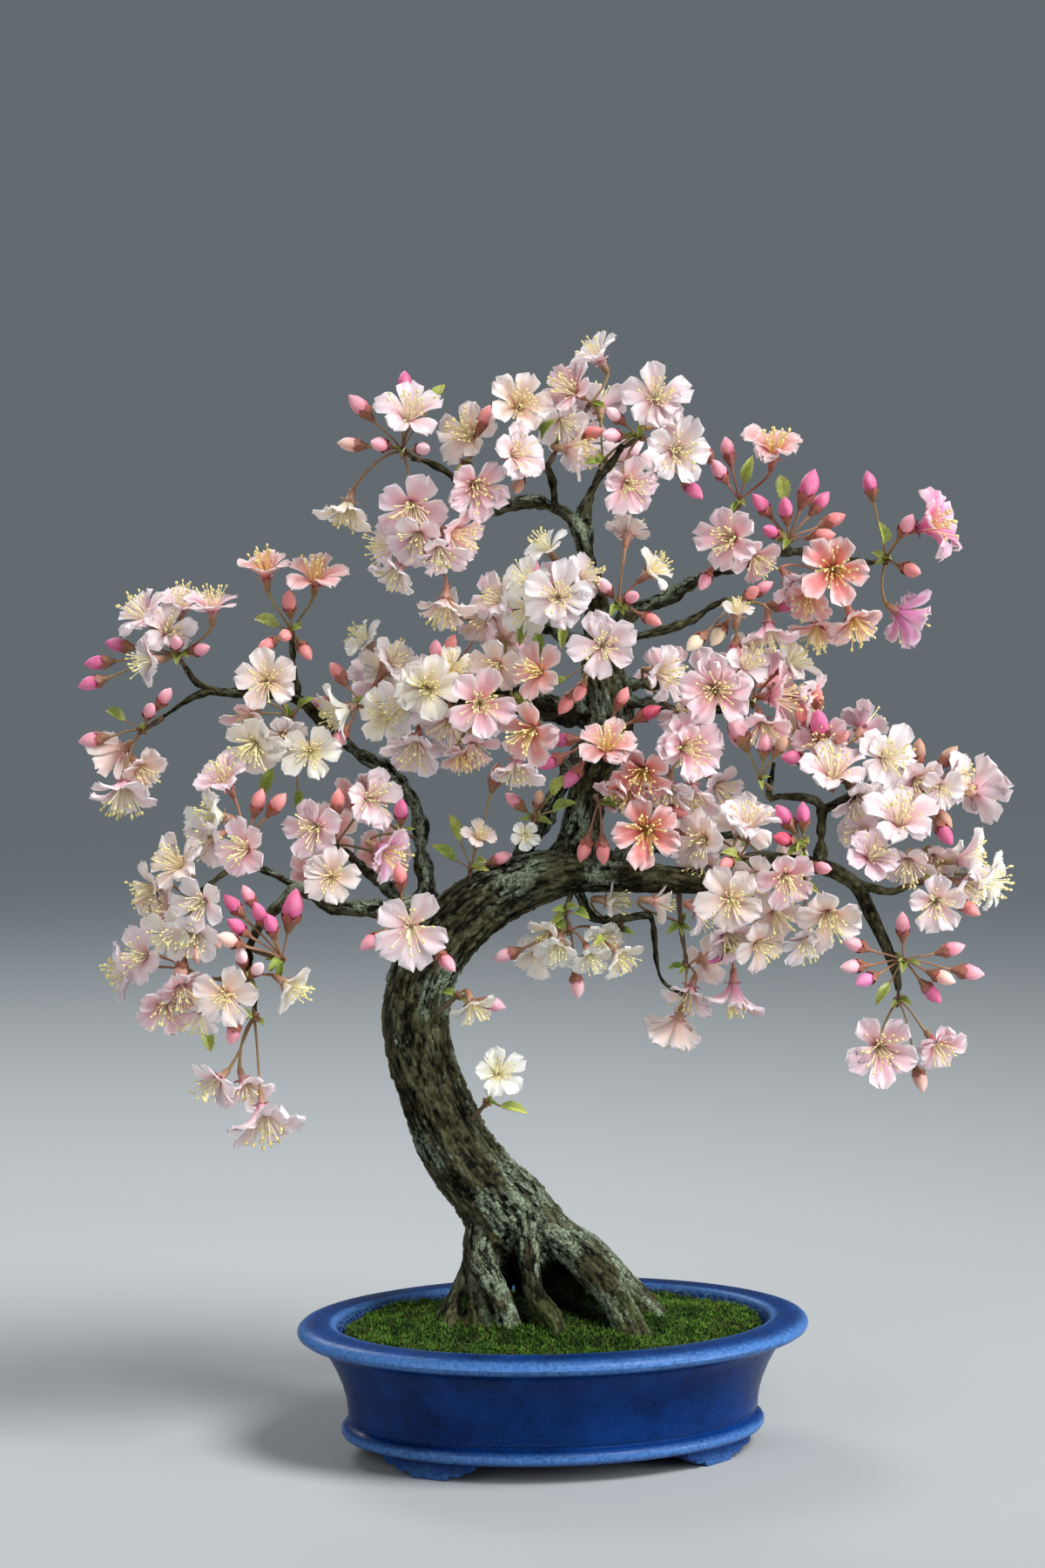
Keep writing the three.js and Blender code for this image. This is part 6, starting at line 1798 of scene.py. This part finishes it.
@dataclass
class Pot:
    """The glazed oval pot: a flared rim, a bead with a fine groove above it, and four bracket feet."""

    end_wall: float = 29 * MM
    segments: int = 160
    drain_across: float = 14 * MM
    drain_spacing: float = 84 * MM
    plug_depth: float = 20 * MM
    foot_angle: float = math.radians(44)
    foot_half_length: float = 91 * MM
    foot_depth: float = 9 * MM
    # how many of the profile's last rows lie inside the pot, where the glaze crackles
    inner_rows: int = 8
    # [half length, height, thin glaze and painted highlight] up the outside, over the rim and down to the
    # floor
    profile: tuple[Row, ...] = (
        (88, 8, 0), (92.6, 8.1, 0.2), (94.9, 9, 0.6), (96, 10.6, 1), (96, 12.2, 0.9), (95.1, 13.7, 0.5),
        (93.6, 14.7, 0.2), (92.5, 15.1, 0), (92, 15.7, 0), (92, 16.5, 0), (92.5, 17, 0.5), (92.9, 17.8, 0.2),
        (93.1, 21, 0), (93.9, 26.5, 0), (95.5, 32, 0), (97.9, 38, 0), (100.8, 43.6, 0), (104, 48.2, 0),
        (107, 50.9, 0), (110.5, 51.8, 0.1), (113.2, 52.5, 0.4), (115, 53.8, 0.8), (115.6, 55.4, 1),
        (115.1, 57.1, 1), (113.6, 58.5, 0.7), (111, 59.2, 0.35), (106.5, 59.5, 0.15), (102, 59.5, 0.3),
        (99.8, 59.2, 0.9), (98.6, 58.3, 1), (97.9, 56.6, 0.5), (97, 51.5, 0.2), (95, 45, 0.1), (92, 36, 0),
        (89, 25, 0), (87, 16.5, 0), (85.6, 14, 0), (82, 13, 0),
    )
    # [along, height] from a foot's middle to its end
    foot_outline: tuple[Row, ...] = (
        (0, 0), (7.4, 0), (8.6, 0.5), (9.2, 1.6), (10.2, 2.5), (12.2, 2.2), (14.2, 2.3), (15.4, 3.2),
        (16.1, 4.5), (17.6, 4.7), (19.6, 4.9), (20.9, 5.9), (21.6, 7.3), (22, 9),
    )

    def half_width(self, half_length: float) -> float:
        """The oval's half width for a half length."""
        return half_length - self.end_wall

    def body(self) -> Piece:
        """Models the body from an oval that is extruded and resized ring by ring."""
        rings = [(long * MM, self.half_width(long * MM), height * MM) for long, height, _ in self.profile]
        return ringed("pot_glaze", rings, self.segments)

    def foot(self, sign_x: int, sign_y: int) -> Piece:
        """Models a bracket foot in one quarter of the pot from its cloud-shaped outline.

        Args:
            sign_x: Which end of the pot, -1 or 1.
            sign_y: Which side of it, -1 or 1.

        Returns:
            The foot, at its place.
        """
        half = self.foot_outline
        outline = [(-along, height) for along, height in reversed(half[1:])] + list(half)
        mesh = bmesh.new()
        face = mesh.faces.new([mesh.verts.new((along * MM, 0, height * MM)) for along, height in outline])
        deep = bmesh.ops.extrude_face_region(mesh, geom=[face])["geom"]
        moved = [item for item in deep if isinstance(item, bmesh.types.BMVert)]
        bmesh.ops.translate(mesh, vec=(0, self.foot_depth, 0), verts=moved)
        piece = linked("foot", bpy.data.meshes.new("foot"))
        mesh.to_mesh(piece.data)
        mesh.free()
        face_outward(piece)
        apply_modifier(piece, "BEVEL", width=0.7 * MM, segments=2, limit_method="ANGLE", angle_limit=1.0)
        wide, narrow = self.foot_half_length, self.half_width(self.foot_half_length)
        at = np.array((wide * math.cos(self.foot_angle), narrow * math.sin(self.foot_angle), 0))
        outward = unit(np.array((at[0] / wide**2, at[1] / narrow**2, 0)))
        signs = np.array((sign_x, sign_y, 1))
        at, outward = at * signs, outward * signs
        axes = np.stack((np.cross(UP, outward), -outward, UP), 1)
        move_points(piece, points_of(piece) @ axes.T + at)
        return piece

    def cut(self, piece: Piece, other: Piece, operation: str) -> None:
        """Joins another piece to a piece, or takes it out of it, and removes the other."""
        apply_modifier(piece, "BOOLEAN", operation=operation, object=other, solver="EXACT")
        bpy.data.objects.remove(other)

    def drain(self, side: int) -> Piece:
        """The plug of a drain hole on one side of the floor's middle."""
        at = (side * self.drain_spacing / 2, 0, self.plug_depth / 2)
        sizes = {"vertices": 32, "radius": self.drain_across / 2, "depth": self.plug_depth, "location": at}
        return add_primitive(bpy.ops.mesh.primitive_cylinder_add, "plug", **sizes)

    def thinness_and_highlight(self, points: Array) -> tuple[Array, Array]:
        """How thin the glaze runs at points of the pot, with painted highlight, and how much it crackles
        there.

        Args:
            points: The points.

        Returns:
            The thinness with painted highlight, and the crackle, both from 0 to 1.
        """
        across, deep = np.abs(points[:, :2]).T
        long = np.hypot(across, deep)
        for _ in range(12):
            size = np.hypot(across / long, deep / np.maximum(long - self.end_wall, 0.01))
            long = long * (0.4 + 0.6 * size)
        rows = np.array(self.profile)
        spots = rows[:, :2] * MM
        nearest = np.hypot(long[:, None] - spots[:, 0], points[:, 2][:, None] - spots[:, 1]).argmin(1)
        return rows[nearest, 2], (nearest >= len(rows) - self.inner_rows).astype(float)

    def dress(self) -> None:
        """Models the pot, joins its feet to it and glazes it."""
        piece = self.body()
        for foot in [self.foot(x, y) for x, y in ((1, 1), (-1, 1), (-1, -1), (1, -1))]:
            self.cut(piece, foot, "UNION")
        for side in (-1, 1):
            self.cut(piece, self.drain(side), "DIFFERENCE")
        smooth(piece, 35)
        points = points_of(piece)
        thin, crackle = self.thinness_and_highlight(points)
        foot_thin = 0.35 + 0.4 * eased(points[:, 2], 6 * MM, 1 * MM)
        # painted highlight with the thin glaze on the rim and bead; the feet grow paler towards the floor
        give(piece, "thin", np.where(points[:, 2] < 8 * MM, foot_thin, thin))
        give(piece, "crackle", crackle)
        cover(piece, GlazeFinish().material)
        settle(piece, "glaze", "pot")


@dataclass
class Moss:
    """A low cushion of moss, highest round the trunk's foot: a lumpy bed thick with short shoots."""

    edge: float = 94.5 * MM
    edge_height: float = 55.2 * MM
    mound_height: float = 70 * MM
    mound_place: tuple[float, float] = (-4 * MM, 2 * MM)
    lump: float = 1.3 * MM
    clump_height: float = 1.2 * MM
    floor: float = 51.3 * MM
    rings: int = 64
    segments: int = 200
    shoots: int = 15000
    dry_share: float = 0.05
    pot: Pot = field(default_factory=Pot)
    # [across, up, forward, radius] of the spots under the roots where painted shade darkens the moss
    shaded_spots: tuple[Row, ...] = ((-15, 62, 16, 9), (8, 62, 12, 17), (-2, 62, 4, 16))
    # the dark of the painted shade low in the bed, down its sides and at the shoots' feet
    deep: Array = field(default_factory=lambda: linear("#0f1907"))

    def bed_points(self, share: Array, angle: Array) -> Array:
        """Points of the bed.

        Args:
            share: How far out each point is, from 0 at the mound to 1 at the pot.
            angle: Its angle round the pot.

        Returns:
            The points.
        """
        swell = (1 - share) ** 1.3
        height = self.edge_height + (self.mound_height - self.edge_height) * swell
        lumps = np.sin(5 * angle + 9 * share) + np.sin(9 * angle - 7 * share) + np.sin(14 * share)
        height = height + self.lump * lumps * 0.5 * eased(share, 1.0, 0.96)
        x = self.edge * np.cos(angle) * share + self.mound_place[0] * (1 - share)
        y = self.pot.half_width(self.edge) * np.sin(angle) * share + self.mound_place[1] * (1 - share)
        return np.stack((x, y, height), 1)

    def clump(self, points: Array) -> Array:
        """How high the moss clumps stand at points, from about -1 to 1.

        Args:
            points: The points.

        Returns:
            A height for each.
        """
        found = np.empty(len(points))
        for k, point in enumerate(points):
            spot = Vector(point)
            near = noise.voronoi(spot / 0.0052)[0][0]
            found[k] = 0.8 - 1.5 * near + 0.5 * noise.fractal(spot / 0.0022, 0.8, 2.1, 2)
        return found

    def painted_light(self, points: Array) -> Array:
        """How much light is painted into the moss's tint at points: little under the roots, as painted shade.
        """
        apart = (points[:, None, :2] - place(self.shaded_spots)[None, :, :2]) / (np.array(self.shaded_spots)[:, 3:] * MM)
        return (1 - 0.88 * np.exp(-(np.linalg.norm(apart, axis=2) ** 4)).max(1))[:, None]

    def grow_bed(self, growth: Growth) -> None:
        """Grows the lumpy bed as one closed body.

        Args:
            growth: The moss that it is added to.
        """
        share, turn = np.linspace(1, 0.004, self.rings), np.arange(self.segments) * 2 * np.pi / self.segments
        shares, angles = (grid.ravel() for grid in np.meshgrid(share, turn, indexing="ij"))
        points = self.bed_points(shares, angles)
        clump = self.clump(points)
        points[:, 2] += clump * self.clump_height * eased(shares, 1.0, 0.97)
        under = points[: self.segments] * (1, 1, 0) + self.floor * UP
        bed = Pattern.lofted(np.concatenate((under, points)), self.segments)
        stand = np.concatenate((np.full(self.segments, -1.0), clump))
        # painted shade: the bed darkens in its low places between the clumps and down its sides
        tints = blended(self.deep, linear("#36521b"), eased(stand, -0.7, 0.8))
        # painted shade under the roots darkens the bed's tint
        growth.add(bed, 0, tints * self.painted_light(bed.points))

    def grow_shoots(self, growth: Growth) -> None:
        """Grows the shoots from one cone, each with its own lean, size and green.

        Args:
            growth: The moss that they are added to.
        """
        cone = bpy.ops.mesh.primitive_cone_add
        piece = add_primitive(cone, "shoot", vertices=3, radius1=0.26, depth=1, location=(0, 0, 0.4))
        bpy.ops.object.transform_apply(location=True)
        shoot = Pattern.taken_from(piece, upright_marks(points_of(piece), 0, 1))
        chance = np.random.default_rng(7)
        shares = np.sqrt(chance.random(self.shoots)) * 0.985
        roots = self.bed_points(shares, chance.random(self.shoots) * 2 * np.pi)
        stands, lit = self.clump(roots), self.painted_light(roots)
        roots[:, 2] += stands * self.clump_height
        # painted shade: shoots standing low between the clumps are darker
        shades = eased(stands, -0.7, 0.6) * 0.8 + 0.2
        leans = chance.normal(size=(self.shoots, 3)) * 0.55 + UP
        for root, lean, shade, light in zip(roots, leans, shades, lit):
            size = chance.uniform(1.6, 3.6) * MM
            copy = shoot.moved(upright_frame(unit(lean)), np.array((0.75, 0.75, 1)) * size, root)
            tip = blended(linear("#356518"), linear("#8bb544"), chance.random())
            if chance.random() < self.dry_share:
                tip = linear("#8a7040")
            # painted shade: each shoot darkens towards its foot
            tints = blended(self.deep, tip, eased(copy.marks[:, 1], -0.1, 0.9) * shade)
            # painted shade under the roots darkens each shoot's tint
            growth.add(copy, 0, tints * light)

    def dress(self) -> None:
        """Models the bed and its shoots."""
        growth = Growth("moss_cushion")
        self.grow_bed(growth)
        self.grow_shoots(growth)
        settle(growth.grown([MossFinish().material], 180), "moss", "moss")


# ---- studio


@dataclass
class StageFinish(Finish):
    """A pale matt floor whose colour turns into a distant one far from the tree, from near to far."""

    name: str = "floor"
    roughness: float = 0.9
    near: float = 0.42
    far: float = 2.4
    pale: Colour = (0.4, 0.418, 0.428)
    distant: Colour = (0, 0, 0)

    def paint(self) -> None:
        """Adds the finish's own nodes."""
        length = self.node("VectorMath")
        length.operation = "LENGTH"
        self.feed(length.inputs[0], self.places)
        share = self.worked("POWER", self.band(length.outputs["Value"], self.near, self.far), 0.6)
        self.set(Base_Color=self.mixed(share, (*self.pale, 1), (*self.distant, 1)), Specular_IOR_Level=0.0)


@dataclass
class Studio:
    """A plain pale floor, soft lights and the camera at the tree's front."""

    pitch: float = math.radians(4.7)
    lens: float = 85.0
    floor_radius: float = 60.0
    sun_way: Row = (-0.6, 0.5, -1.0)
    sun_strength: float = 3.3
    sun_angle: float = math.radians(25)
    aim: Row = (0, 0, 0.28)
    surround: Colour = (0.125, 0.146, 0.16)
    # [name, place, size, power]
    lamps: tuple[tuple[str, Row, float, float], ...] = (
        ("fill", (-1.1, -1.7, 1.1), 1.1, 12.0),
        ("back", (-0.8, 1.3, 1.4), 0.8, 14.0),
        ("side", (1.3, -0.5, 0.35), 0.5, 12.0),
    )

    def floor(self) -> None:
        """Models the floor as a wide disc whose far colour equals the surround under the same light."""
        circle = bpy.ops.mesh.primitive_circle_add
        piece = add_primitive(circle, "floor", vertices=96, radius=self.floor_radius, fill_type="NGON")
        around = np.array(self.surround)
        lit = self.sun_strength / math.pi * -unit(np.array(self.sun_way))[2]
        cover(piece, StageFinish(distant=tuple(around / (around + lit))).material)

    def hang(self, name: str, kind: str, energy: float, way: Vector) -> Piece:
        """Hangs a light.

        Args:
            name: The light's name.
            kind: Its kind.
            energy: Its strength or power.
            way: Where it shines.

        Returns:
            The light's object.
        """
        light = bpy.data.lights.new(name, kind)
        light.energy = energy
        holder = linked(name, light)
        holder.rotation_euler = way.to_track_quat("-Z", "Y").to_euler()
        return holder

    def light(self) -> None:
        """Hangs a soft key light and the lamps, and sets an even surround."""
        key = self.hang("key", "SUN", self.sun_strength, Vector(turned(np.array(self.sun_way))))
        key.data.angle = self.sun_angle
        for name, spot, size, power in self.lamps:
            spot = Vector(turned(np.array(spot)))
            lamp = self.hang(name, "AREA", power, Vector(self.aim) - spot)
            lamp.location = spot
            lamp.data.size = size
        world = bpy.data.worlds.new("surround")
        world.use_nodes = True
        world.node_tree.nodes["Background"].inputs["Color"].default_value = (*self.surround, 1)
        bpy.context.scene.world = world
        bpy.context.scene.view_settings.view_transform = "Standard"

    def camera(self) -> None:
        """Puts the camera at the front, level with the crown and looking a little down."""
        data = bpy.data.cameras.new("front")
        data.lens = self.lens
        data.sensor_width = 36
        data.clip_end = 100
        camera = linked("front", data)
        camera.location = turned(FRONT_EYE) * MM
        camera.rotation_euler = (math.pi / 2 - self.pitch, 0, FRONT_TURN)
        bpy.context.scene.camera = camera

    def set_up(self) -> None:
        """Sets up camera, floor and lights."""
        self.camera()
        self.floor()
        self.light()


def dress_soil() -> None:
    """Gives the soil its crumb."""
    cover(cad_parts["soil"], SoilFinish().material)
    log.info("soil: covered")


def dress_sprays() -> None:
    """Grows every flowering spray."""
    flowers = Flowers()
    materials = (
        PetalFinish().material,
        FleshFinish("stalk", 0.55).material,
        FleshFinish("stamen", 0.5, shade="#f3ebca").material,
        LeafFinish().material,
        FleshFinish("young_bark", 0.8, 500).material,
    )
    for k, spray in enumerate(SPRAYS):
        FloweringSpray(spray, k + 1, flowers).grow(materials)


def main() -> None:
    """Builds everything in order and notes the sizes."""
    logging.basicConfig(level=logging.INFO, format="%(name)s %(message)s")
    noise.seed_set(NOISE_SEED)
    Studio().set_up()
    Pot().dress()
    dress_soil()
    Moss().dress()
    Tree().dress()
    dress_sprays()


if __name__ == "__main__":
    main()
